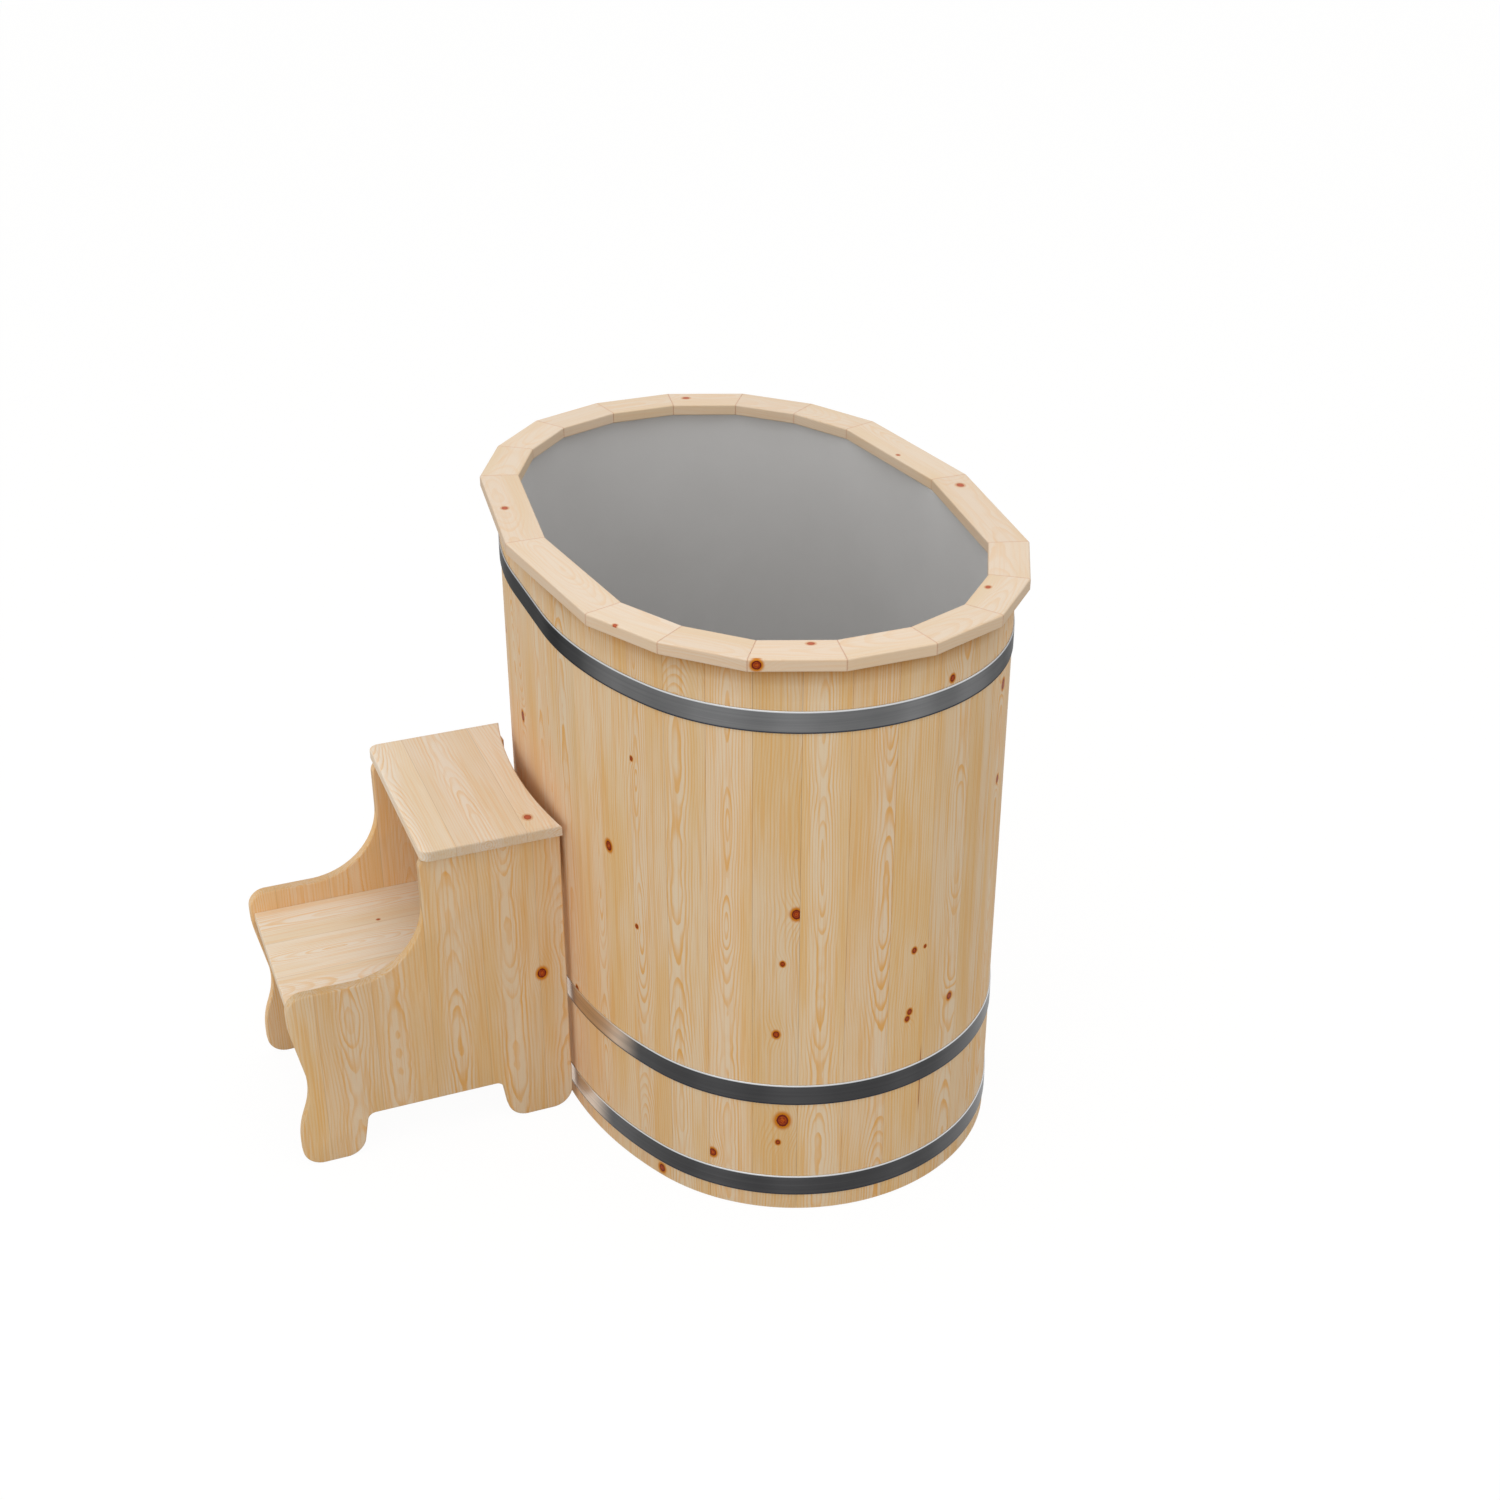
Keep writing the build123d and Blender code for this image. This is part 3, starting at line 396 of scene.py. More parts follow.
def sawn_pine():
    """Pine sawn from a log. The rings are the distance from a pith that lies below the face, leans
    and wanders along the board, so that flames, ovals and side grain come out as they do on the
    saw. Late wood builds up slowly in each ring and stops at once. Knots push the rings aside.
    Painted bounce light warms it, and painted shade darkens it where shade falls."""
    tree, f, given, result = group(
        "sawn pine",
        [("Place", "vector"), ("Board", "value"), ("Strip Width", "value"), ("Ring Width", "value"),
         ("Pith", "vector"), ("Spread", "value")] + [("Knot %d" % k, "vector") for k in range(1, 6)] +
        [("Side Knot", "vector"), ("Knot Light", "value"), ("Streak", "vector"), ("End Grain", "value"), ("Stain", "value"), ("Painted Bounce", "value"), ("Painted Shade", "value"),
         ("Pale", "colour"), ("Golden", "colour"), ("Amber", "colour"), ("Contrast", "value")],
        [("Color", "colour"), ("Roughness", "value"), ("Height", "value")])
    along, across, depth = f.split(given["Place"])
    strip = f.math("FLOOR", f.add(f.math("DIVIDE", across, given["Strip Width"]), 0.5))
    side = f.sub(across, f.mul(strip, given["Strip Width"]))
    seed = f.muladd(strip, 17.13, given["Board"])
    r1, r2, r3 = f.chance(seed)
    r4, r5, r6 = f.chance(f.add(seed, 91.7))
    shift = f.mul(seed, 3.71)

    # knots, measured along and across the board in their own radii
    near, bulge = None, None
    inside = f.ramp(across, 0.016, 0.027, 30.0, 0.0)
    under = f.ramp(depth, 0.003, 0.008, 0.0, 30.0)
    for number in (1, 2, 3, 4, 5, 0):
        knot_along, knot_across, knot_radius = f.split(given["Knot %d" % number if number else "Side Knot"])
        radius = f.math("MAXIMUM", knot_radius, 0.0005)
        du = f.math("DIVIDE", f.sub(along, knot_along), f.mul(radius, 1.25 if number else 1.0))
        dv = f.math("DIVIDE", f.sub(across if number else depth, knot_across), radius)
        away = f.math("SQRT", f.add(f.mul(du, du), f.mul(dv, dv)))
        away = f.add(away, under if number else inside)
        if not number:
            faded = f.mul(given["Knot Light"], f.ramp(away, 1.6, 2.4))
        swell = f.mul(f.math("EXPONENT", f.mul(f.mul(away, away), -0.09)), f.mul(radius, 1.6))
        near = away if near is None else f.math("MINIMUM", near, away)
        bulge = swell if bulge is None else f.add(bulge, swell)

    # distance from the pith
    slow = f.noise(f.join(f.mul(along, 2.4), shift, 0.0), detail=1.0)
    quick = f.noise(f.join(f.mul(along, 13.0), f.mul(side, 9.0), shift), detail=2.0)
    ripple = f.noise(f.join(f.mul(along, 30.0), f.mul(side, 110.0), shift), detail=1.0)
    pith_side, pith_depth, pith_lean = f.split(given["Pith"])
    pith = f.mul(pith_depth, f.muladd(f.mul(f.sub(r1, 0.5), given["Spread"]), 0.8, 1.0))
    pith = f.add(pith, f.mul(f.sub(slow, 0.5), 0.095))
    lean = f.muladd(f.mul(f.sub(r2, 0.5), given["Spread"]), 0.07, pith_lean)
    pith = f.muladd(lean, along, pith)
    pith = f.add(pith, f.mul(f.sub(quick, 0.5), 0.008))
    offset = f.muladd(f.mul(f.sub(r3, 0.5), given["Spread"]), 0.040, pith_side)
    offset = f.add(offset, f.mul(f.sub(f.noise(f.join(f.mul(along, 2.1), 7.7, shift), detail=1.0), 0.5), 0.018))
    sideways = f.sub(side, offset)
    below = f.sub(pith, depth)
    rings = f.math("SQRT", f.add(f.mul(sideways, sideways), f.mul(below, below)))
    rings = f.add(rings, bulge)
    rings = f.add(rings, f.mul(f.sub(ripple, 0.5), 0.0009))
    turns = f.math("DIVIDE", rings, given["Ring Width"])
    year = f.math("FLOOR", turns)
    within = f.sub(turns, year)
    lively = f.chance(f.muladd(year, 5.37, seed))[0]
    late = f.mul(f.ramp(within, 0.38, 0.86), f.ramp(within, 0.92, 1.0, 1.0, 0.0))
    aside = f.math("ABSOLUTE", sideways)
    patch = f.noise(f.join(f.mul(along, 7.0), f.mul(side, 45.0), shift), detail=2.0)
    late = f.mul(late, f.muladd(lively, 0.45, 0.55))
    late = f.mul(late, f.ramp(patch, 0.32, 0.60, 0.40, 1.0))

    # fibres, soft blotches and the board's own tint
    fibre = f.noise(f.join(f.mul(along, 16.0), f.mul(side, 900.0), f.mul(depth, 900.0)), detail=2.0)
    streak = f.noise(f.join(f.mul(along, 5.0), f.mul(side, 260.0), f.add(shift, f.mul(depth, 200.0))), detail=2.0)
    cloud = f.noise(f.join(f.mul(along, 3.0), f.mul(side, 14.0), shift), detail=3.0)
    ripe = f.mul(f.ramp(aside, 0.012, 0.030, 0.12, 0.85), f.ramp(cloud, 0.36, 0.62, 0.25, 1.0))
    colour = f.mix(ripe, given["Pale"], given["Golden"])
    colour = f.mix(f.mul(f.ramp(streak, 0.50, 0.64), f.mul(given["Contrast"], 0.42)), colour, given["Amber"])
    figure = f.mul(late, f.mul(given["Contrast"], f.ramp(aside, 0.014, 0.036, 1.0, 0.55)))
    colour = f.mix(figure, colour, given["Amber"])
    light = f.add(f.muladd(f.sub(fibre, 0.5), 0.08, 1.0), f.mul(f.sub(r5, 0.5), 0.05))
    end_pores = f.noise(f.join(0.0, f.mul(side, 2600.0), f.mul(depth, 2600.0)), detail=1.0)
    end_light = f.muladd(end_pores, 0.3, 0.62)
    light = f.mul(light, f.add(f.sub(1.0, given["End Grain"]), f.mul(given["End Grain"], end_light)))
    colour = f.mix(1.0, colour, f.join(light, light, light), "MULTIPLY")
    rosy = f.mul(f.ramp(r6, 0.2, 1.0), 0.08)
    colour = f.mix(rosy, colour, (0.80, 0.50, 0.33, 1.0))
    colour = f.mix(f.mul(given["Stain"], 0.42), colour, (0.66, 0.33, 0.20, 1.0))

    # painted bounce light: warm light thrown from the stool onto the staves behind it
    colour = f.mix(f.mul(given["Painted Bounce"], 0.45), colour, (0.93, 0.56, 0.34, 1.0))
    # painted shade under the rim and on the rim's side faces
    colour = f.mix(given["Painted Shade"], colour, (0.60, 0.44, 0.25, 1.0), "MULTIPLY")

    # knots: golden halo, dark bark ring, red-brown heart with its own small rings
    halo = f.mul(f.ramp(near, 1.12, 1.85, 1.0, 0.0), f.muladd(faded, -0.75, 1.0))
    colour = f.mix(halo, colour, (0.60, 0.195, 0.004, 1.0))
    heart_noise = f.noise(f.join(f.mul(along, 420.0), f.mul(across, 420.0), shift), detail=2.0)
    heart_rings = f.math("FRACT", f.muladd(near, 2.2, f.mul(heart_noise, 1.6)))
    heart = f.mix(f.ramp(heart_rings, 0.2, 0.9), (0.50, 0.090, 0.0, 1.0), (0.24, 0.012, 0.0, 1.0))
    bark = f.mul(f.ramp(near, 0.50, 0.80), 0.9)
    heart = f.mix(bark, heart, (0.120, 0.0, 0.0, 1.0))
    heart = f.mix(faded, heart, (0.62, 0.150, 0.070, 1.0))
    in_knot = f.ramp(f.muladd(heart_noise, 0.25, near), 1.16, 1.06)
    colour = f.mix(in_knot, colour, heart)

    # a resin streak: a thin line along the grain
    streak_along, streak_across, streak_half = f.split(given["Streak"])
    thin = f.math("ABSOLUTE", f.add(f.sub(across, streak_across), f.mul(f.sub(quick, 0.5), 0.004)))
    reach = f.math("ABSOLUTE", f.sub(along, streak_along))
    resin = f.mul(f.ramp(thin, 0.0005, 0.0018, 1.0, 0.0),
                  f.ramp(f.math("DIVIDE", reach, f.math("MAXIMUM", streak_half, 0.0001)), 0.55, 1.0, 1.0, 0.0))
    colour = f.mix(f.mul(resin, 0.8), colour, (0.36, 0.10, 0.025, 1.0))

    # glue line between the strips of a laminated board
    glue = f.math("ABSOLUTE", f.math("SUBTRACT", f.math("ABSOLUTE", side), f.mul(given["Strip Width"], 0.5)))
    glue = f.ramp(glue, 0.0001, 0.0007, 1.0, 0.0)
    colour = f.mix(f.mul(glue, 0.35), colour, (0.36, 0.21, 0.10, 1.0))

    roughness = f.muladd(late, -0.10, 0.60)
    roughness = f.muladd(fibre, 0.08, roughness)
    roughness = f.muladd(in_knot, -0.16, roughness)
    roughness = f.muladd(given["End Grain"], 0.18, roughness)
    height = f.add(f.mul(late, 0.35), f.muladd(fibre, 0.35, f.mul(streak, 0.3)))
    height = f.add(height, f.mul(in_knot, f.muladd(heart_noise, 0.5, -0.1)))
    height = f.sub(height, f.mul(glue, 0.5))
    f.feed(result["Color"], colour)
    f.feed(result["Roughness"], roughness)
    f.feed(result["Height"], height)
    return tree


def rolled_steel():
    """Rolled and brushed strip. Fine lines run along the strip and broad clouds tell where it was
    handled. The lower hoops are given darker colours as painted shade. It takes a painted highlight
    along its upper edge, painted shade along its lower edge and beside the stool, and a painted
    reflection of the stool's wood."""
    tree, f, given, result = group(
        "rolled steel",
        [("Place", "vector"), ("Dark", "colour"), ("Bright", "colour"), ("Line Density", "value"), ("Painted Edge Light", "value"), ("Painted Shadow Tone", "value"), ("Painted Stool Reflection", "value")],
        [("Color", "colour"), ("Roughness", "value"), ("Height", "value")])
    along, across, depth = f.split(given["Place"])
    fine = f.noise(f.join(f.mul(along, 6.0), f.mul(across, f.mul(given["Line Density"], 2600.0)), f.mul(depth, 2600.0)), detail=2.0)
    broad = f.noise(f.join(f.mul(along, 2.2), f.mul(across, 240.0), f.mul(depth, 240.0)), detail=3.0)
    cloud = f.noise(given["Place"], scale=9.0, detail=3.0)
    bands = f.ramp(f.noise(f.join(f.mul(along, 9.0), 3.3, 0.0), detail=1.0), 0.36, 0.64, 0.88, 1.16)
    share = f.add(f.mul(fine, 0.35), f.add(f.mul(broad, 0.3), f.mul(cloud, 0.35)))
    colour = f.mix(f.ramp(share, 0.36, 0.64), given["Dark"], given["Bright"])
    # painted shade of the stool on the upper hoop, times random bands along the strip
    painted_shadow_tone = f.mul(given["Painted Shadow Tone"], bands)
    colour = f.mix(1.0, colour, f.join(painted_shadow_tone, painted_shadow_tone, painted_shadow_tone), "MULTIPLY")
    # painted reflection of the stool's wood on the hoops beside it
    painted_stool_reflection = f.mul(given["Painted Stool Reflection"], f.ramp(broad, 0.3, 0.6, 0.8, 1.0))
    colour = f.mix(painted_stool_reflection, colour, (0.68, 0.54, 0.42, 1.0))
    # painted highlight along the upper edge
    colour = f.mix(f.mul(f.math("MAXIMUM", given["Painted Edge Light"], 0.0), 0.8), colour, (0.80, 0.81, 0.83, 1.0))
    # painted shade along the lower edge
    under = f.math("MAXIMUM", f.mul(given["Painted Edge Light"], -1.0), 0.0)
    colour = f.mix(f.mul(under, 0.85), colour, (0.022, 0.028, 0.040, 1.0))
    f.feed(result["Color"], colour)
    f.feed(result["Roughness"], f.muladd(fine, 0.10, f.muladd(cloud, 0.12, 0.24)))
    f.feed(result["Height"], f.muladd(fine, 0.7, f.mul(broad, 0.3)))
    return tree


def moulded_skin():
    """Surface of a plastic or rubber piece: a fine sandy grain, soft clouds where it was wiped and
    a few pale scuffs."""
    tree, f, given, result = group(
        "moulded skin",
        [("Place", "vector"), ("Base", "colour"), ("Cloud", "colour"), ("Grain Scale", "value"), ("Gloss", "value")],
        [("Color", "colour"), ("Roughness", "value"), ("Height", "value")])
    grain = f.node("ShaderNodeTexNoise", noise_dimensions="3D")
    f.feed(grain.inputs["Vector"], given["Place"])
    f.feed(grain.inputs["Scale"], given["Grain Scale"])
    grain.inputs["Detail"].default_value = 2.0
    cloud = f.noise(given["Place"], scale=3.5, detail=4.0, rough=0.6)
    scuff = f.noise(given["Place"], scale=42.0, detail=5.0, rough=0.7)
    colour = f.mix(f.ramp(cloud, 0.35, 0.7), given["Base"], given["Cloud"])
    colour = f.mix(f.mul(f.ramp(scuff, 0.62, 0.8), 0.10), colour, (0.8, 0.8, 0.8, 1.0))
    f.feed(result["Color"], colour)
    f.feed(result["Roughness"], f.add(f.muladd(cloud, 0.10, given["Gloss"]), f.mul(grain.outputs[0], 0.06)))
    f.feed(result["Height"], f.muladd(scuff, 0.15, grain.outputs[0]))
    return tree


PINE, STEEL, SKIN = sawn_pine(), rolled_steel(), moulded_skin()


def finish(name, tree, values, bump=0.0002, strength=0.5, metallic=0.0, coat=0.0, specular=0.5, edge_tint=1.0):
    """A material around one effect group: its colour and roughness go to the shader, and its height
    to a bump. Values may be numbers, colours or a function of the formula that gives a socket."""
    material = bpy.data.materials.new(name)
    material.use_nodes = True
    nodes = material.node_tree
    nodes.nodes.clear()
    f = Formula(nodes)
    shader = f.node("ShaderNodeBsdfPrincipled")
    shader.inputs["Metallic"].default_value = metallic
    shader.inputs["Specular IOR Level"].default_value = specular
    shader.inputs["Specular Tint"].default_value = (edge_tint, edge_tint, edge_tint, 1.0)
    shader.inputs["Coat Weight"].default_value = coat
    shader.inputs["Coat Roughness"].default_value = 0.45
    effect = f.node("ShaderNodeGroup")
    effect.node_tree = tree
    for key, value in values.items():
        f.feed(effect.inputs[key], value(f) if callable(value) else value)
    relief = f.node("ShaderNodeBump")
    relief.inputs["Strength"].default_value = strength
    relief.inputs["Distance"].default_value = bump
    nodes.links.new(effect.outputs["Color"], shader.inputs["Base Color"])
    nodes.links.new(effect.outputs["Roughness"], shader.inputs["Roughness"])
    nodes.links.new(effect.outputs["Height"], relief.inputs["Height"])
    nodes.links.new(relief.outputs[0], shader.inputs["Normal"])
    output = f.node("ShaderNodeOutputMaterial")
    nodes.links.new(shader.outputs[0], output.inputs[0])
    return material


def object_place(turned=(0.0, 0.0, 0.0)):
    """Board coordinates of a node that has none of its own: its object coordinates, turned."""
    def build(f):
        coordinates = f.node("ShaderNodeTexCoord")
        mapping = f.node("ShaderNodeMapping")
        mapping.inputs["Rotation"].default_value = turned
        f.feed(mapping.inputs["Vector"], coordinates.outputs["Object"])
        return mapping.outputs[0]
    return build


def own(name, vector=False):
    """A mark that the piece carries on its points."""
    return lambda f: f.attribute(name, vector)


knot_names = ["knot_%d" % k for k in range(1, 6)] + ["side_knot"]
no_knot = (9.0, 9.0, 0.0)


def pine(name, tones, contrast, strip_width=1.0, ring_width=0.0040, spread=0.0, knot_light=0.0, marked=True,
         turned=(0, 0, 0)):
    """Pine of three tones. A marked piece reads its board, pith, knots and streak from its points."""
    pale, golden, amber = tones
    values = {"Pale": pale + (1.0,), "Golden": golden + (1.0,), "Amber": amber + (1.0,), "Contrast": contrast,
              "Strip Width": strip_width, "Ring Width": ring_width, "Spread": spread, "Knot Light": knot_light}
    if marked:
        values.update({k.replace("_", " ").title(): own(k, True) for k in knot_names})
        values.update({"Place": own("place", True), "Board": own("board"), "Pith": own("pith", True),
                       "Streak": own("streak", True), "End Grain": own("end_grain"), "Stain": own("stain"), "Painted Bounce": own("painted_bounce"),
                       "Painted Shade": own("painted_shade")})
    else:
        values.update({k.replace("_", " ").title(): no_knot for k in knot_names + ["streak"]})
        values.update({"Place": object_place(turned), "Board": 7.0, "Pith": (0.0, 0.04, 0.0)})
    return finish(name, PINE, values, bump=0.0004, strength=0.35, specular=0.18)


stave_tones = (0.800, 0.640, 0.448), (0.765, 0.515, 0.245), (0.755, 0.375, 0.072)
# a brighter, pinker copy of the stave tones: painted bounce light for the far panel, which stands in the shade under
# the upper tread
bounce_lit_tones = (0.920, 0.680, 0.440), (0.900, 0.590, 0.290), (0.880, 0.460, 0.110)
rim_tones = (0.830, 0.690, 0.545), (0.800, 0.625, 0.430), (0.800, 0.520, 0.270)
tread_tones = (0.890, 0.780, 0.645), (0.850, 0.685, 0.480), (0.830, 0.510, 0.210)
hidden_tones = (0.660, 0.480, 0.290), (0.600, 0.410, 0.210), (0.480, 0.260, 0.090)

stave_pine = pine("oiled pine staves", stave_tones, 0.95)
rim_pine = pine("oiled pine rim", rim_tones, 0.45, knot_light=0.6)
panel_pine = pine("oiled pine panels", stave_tones, 0.95, strip_width=0.0932, spread=1.0)
# far panel: the same pine with painted bounce light
bounce_lit_far_panel_pine = pine("oiled pine far panel with painted bounce light", bounce_lit_tones, 0.90, strip_width=0.0932, spread=1.0)
upper_tread_pine = pine("oiled pine upper tread", tread_tones, 0.75, strip_width=0.1155, spread=1.0, knot_light=0.6)
lower_tread_pine = pine("oiled pine lower tread", tread_tones, 0.75, strip_width=0.1047, spread=1.0, knot_light=0.6)
batten_pine = pine("oiled pine battens", stave_tones, 0.70)
bearer_pine = pine("raw pine bearers", hidden_tones, 0.7, marked=False)
floor_pine = pine("raw pine floor boards", hidden_tones, 0.7, strip_width=0.09964, spread=1.0, marked=False, turned=(0, 0, pi / 2))
beech = pine("beech", ((0.62, 0.42, 0.25), (0.58, 0.37, 0.20), (0.46, 0.26, 0.12)), 0.4, ring_width=0.0014, marked=False)


def steel(name, dark, bright, density=1.0, place=None, **more):
    values = {"Place": place or own("place", True), "Dark": dark + (1.0,), "Bright": bright + (1.0,),
              "Line Density": density, "Painted Edge Light": 0.0, "Painted Shadow Tone": 1.0, "Painted Stool Reflection": 0.0}
    if place is None:
        values.update({"Painted Edge Light": own("edge"), "Painted Shadow Tone": own("painted_shadow_tone"), "Painted Stool Reflection": own("painted_stool_reflection")})
    return finish(name, STEEL, values, bump=0.00006, strength=0.4, metallic=1.0, **more)


# the middle and lower hoops get darker copies of the steel: painted shade for the darker reflections low on the tub
hoop_steels = {
    "upper_hoop": steel("hoop steel upper", (0.140, 0.142, 0.145), (0.185, 0.186, 0.188), edge_tint=0.4),
    "middle_hoop": steel("hoop steel middle painted darker", (0.050, 0.050, 0.052), (0.066, 0.066, 0.068)),
    "lower_hoop": steel("hoop steel lower painted darker", (0.052, 0.052, 0.054), (0.070, 0.070, 0.072)),
}
lug_steel = steel("lug steel", (0.12, 0.12, 0.125), (0.20, 0.20, 0.205), place=object_place((0, 0, pi / 2)))
fastener_steel = steel("zinc plated steel", (0.42, 0.42, 0.41), (0.58, 0.58, 0.56), density=0.5, place=object_place())
drain_steel = steel("stainless drain", (0.45, 0.45, 0.44), (0.62, 0.62, 0.60), density=0.5, place=object_place())
valve_brass = steel("valve brass", (0.42, 0.29, 0.11), (0.60, 0.44, 0.19), density=0.4, place=object_place())


def plastic(name, base, cloud, grain, gloss, bump=0.00008, **more):
    values = {"Place": object_place(), "Base": base + (1.0,), "Cloud": cloud + (1.0,), "Grain Scale": grain, "Gloss": gloss}
    return finish(name, SKIN, values, bump=bump, **more)


liner_plastic = plastic("grey polypropylene", (0.640, 0.632, 0.622), (0.665, 0.657, 0.647), 900.0, 0.46)
gasket_rubber = plastic("black rubber", (0.018, 0.018, 0.018), (0.028, 0.028, 0.028), 700.0, 0.62)
grip_plastic = plastic("black dipped grip", (0.014, 0.014, 0.015), (0.024, 0.024, 0.026), 500.0, 0.38)

# ---------------------------------------------------------------- boards


def board(rows, place, number, pith=(0.0, 40.0, 0.0), knots=(), side_knot=None, streak=None, end_grain=0.0, stain=0.0, painted_bounce=0.0, painted_shade=0.0):
    """A closed skin that carries its board coordinates, along, across and depth, in metres, and the
    marks the pine reads: where its pith lies, its knots and its streak. An unused knot lies far off."""
    rows = np.asarray(rows, float)
    shape = rows.shape[:2]
    marks = {"place": np.asarray(place, float) * METRE, "board": np.full(shape, float(number)),
             "end_grain": np.broadcast_to(end_grain, shape), "stain": np.broadcast_to(stain, shape), "painted_bounce": np.broadcast_to(painted_bounce, shape),
             "painted_shade": np.broadcast_to(painted_shade, shape),
             "pith": np.broadcast_to(np.array([pith[0] * METRE, pith[1] * METRE, pith[2]]), shape + (3,))}
    places = list(knots)[:5] + [None] * (5 - min(5, len(knots))) + [side_knot]
    for key, value in zip(knot_names + ["streak"], places + [streak]):
        value = np.array(no_knot) if value is None else np.array(value, float) * METRE
        marks[key] = np.broadcast_to(value, shape + (3,))
    return Shell(rows, **marks)


# knots of the staves: distance clockwise from the far tip, height and radius
stave_knots = [
    (1913, 774, 3.0), (1975, 594, 7.0), (1635, 570, 7.0), (1655, 480, 3.6), (1912, 475, 3.0), (1664, 348, 5.0),
    (1653, 181, 9.5), (1660, 137, 3.6), (1768, 95, 6.0), (1869, 17, 6.0), (1442, 470, 4.0), (1421, 470, 2.4),
    (1446, 356, 4.2), (1450, 344, 4.0), (1360, 348, 5.0), (1392, 923, 4.6), (1233, 848, 6.5), (1231, 682, 5.0),
    (2333, 653, 6.5), (1055, 760, 5.0), (905, 420, 7.5), (760, 640, 5.0), (640, 250, 8.0), (520, 820, 4.0),
    (330, 505, 6.5), (205, 860, 5.0), (60, 330, 4.5), (2960, 700, 7.0), (2850, 410, 4.0), (2700, 600, 8.0),
    (2560, 205, 5.0), (2450, 760, 4.0), (2360, 330, 6.0), (2190, 420, 5.0), (2100, 250, 5.0),
]
stave_streaks = [(1419, 215, 75), (2880, 560, 60), (700, 800, 90)]
# where the flame of a stave runs, from its middle, and how deep its pith lies
stave_flames = {17: (0, 22), 18: (-24, 16), 19: (-21, 17), 20: (85, 60), 21: (-24, 16), 22: (4, 15), 23: (-90, 60),
                24: (3, 16), 25: (14, 17), 26: (22, 16), 27: (-85, 60), 28: (-21, 18), 29: (6, 26)}


def stave_profile():
    """Plan section of a stave in distance from its middle and depth from the outer face: eased
    arrises, a cove in the second edge and a bead on the first."""
    half = stave_pitch / 2 - stave_gap / 2
    ease = 0.5
    middle = stave_thickness / 2
    steps = 5
    return np.concatenate([
        arc((-half + ease, ease), ease, 180, 270, steps),
        run((-half + ease, 0), (half - ease, 0), 7),
        arc((half - ease, ease), ease, 270, 360, steps),
        arc((half, middle), cove_radius, 270, 90, 9),
        arc((half - ease, stave_thickness - ease), ease, 0, 90, steps),
        run((half - ease, stave_thickness), (-half + ease, stave_thickness), 5),
        arc((-half + ease, stave_thickness - ease), ease, 90, 180, steps),
        arc((-half, middle), bead_radius, 90, 270, 9),
    ])


def stave_shells(number):
    """One stave: its section carried up from the ground to the flange seat, then its outer half up
    to the rim. Both ends draw in by the ease, as a plane leaves them."""
    centre = stave_turn + number * stave_pitch
    section = stave_profile()
    half = stave_pitch / 2
    mine = []
    for distance, height, radius in stave_knots:
        away = (distance - centre + girth / 2) % girth - girth / 2
        if abs(away) <= half:
            mine.append((height, away, radius))
    streak = None
    for distance, height, reach in stave_streaks:
        away = (distance - centre + girth / 2) % girth - girth / 2
        if abs(away) <= half:
            streak = (height, away, reach)
    upper = rounded_box(-half + stave_gap / 2, 0, half - stave_gap / 2, 13.8, (0.5, 0.5, 0.3, 0.3), 5)
    shells = []
    for outline, levels in (
        (section, [(stave_lift, 0.8), (stave_lift + 0.25, 0.3), (stave_lift + 0.8, 0), (330, 0), (560, 0), (700, 0),
                   (925, 0), (950, 0), (966, 0), (flange_under, 0)]),
        (upper, [(flange_under, 0), (stave_top - 0.4, 0), (stave_top, 0.4)]),
    ):
        rows, places, ends, painted_bounces, painted_shades = [], [], [], [], []
        for height, inward in levels:
            ring = shrunk(outline, inward) if inward else outline
            rows.append(wall(centre + ring[:, 0], ring[:, 1], height))
            places.append(np.stack([np.full(len(ring), height), ring[:, 0], ring[:, 1]], -1))
            ends.append(np.full(len(ring), 1.0 if inward > 0.5 else 0.0))
            from_stool = np.abs(centre + ring[:, 0] - 3 * quarter - stool_middle_y)
            # painted bounce light from the stool on the staves behind it, below 700 mm
            painted_bounces.append(np.clip((330 - from_stool) / 200, 0, 1) * np.clip((700 - height) / 140, 0, 1))
            # painted shade on the staves just under the rim, where its shadow falls
            painted_shades.append(np.full(len(ring), np.interp(height, (925, 950, 966, 976), (0, 0.18, 0.62, 1.0))))
        pith = stave_flames.get(number, (22 * sin(2.4 * number), 24 + 9 * sin(5.1 * number)))
        shells.append(board(np.array(rows), np.array(places), 3 + 1.37 * number, pith + (0.02 * sin(3.3 * number),),
                            mine, None, streak, np.array(ends), 0.0, np.array(painted_bounces),
                            np.array(painted_shades)))
    return shells


groups = {"far_end_staves": range(-6, 7), "right_side_staves": range(7, 15),
          "near_end_staves": range(15, 28), "left_side_staves": range(28, 36)}
for name, numbers in groups.items():
    skins = [shell for number in numbers for shell in stave_shells(number)]
    make_piece(name + "_planed", skins, stave_pine, "tub", [name], sharp=50)

# ---------------------------------------------------------------- rim

quarter_ring = [(x * rim_inner_half_width, y * rim_inner_half_length) for x, y in rim_corner_shares]
ring = (
    quarter_ring
    + [(x, -y) for x, y in reversed(quarter_ring[:-1])]
    + [(-x, -y) for x, y in quarter_ring[:-1]]
    + [(-quarter_ring[-1][0], 0.0)]
    + [(-x, y) for x, y in reversed(quarter_ring[:-1])]
)
rim_count = len(ring)
# knots in the rim's top, x, y and radius, and one in its outer face, x, y, height and radius
rim_knots = [(92, 531, 5), (-362, 139, 5), (279, 314, 6.5), (331, 123, 3), (368, -41, 6), (-97, -503, 4.5),
             (-334, -344, 3), (223, -423, 4)]
rim_face_knot = (-187, -522.5, 991.5, 7.0)


def rim_edge(index):
    """Start, direction, outward normal and length of one inner edge of the rim."""
    a, b = np.array(ring[index - 1]), np.array(ring[index % rim_count])
    length = hypot(*(b - a))
    t = (b - a) / length
    return a, t, np.array([-t[1], t[0]]), length


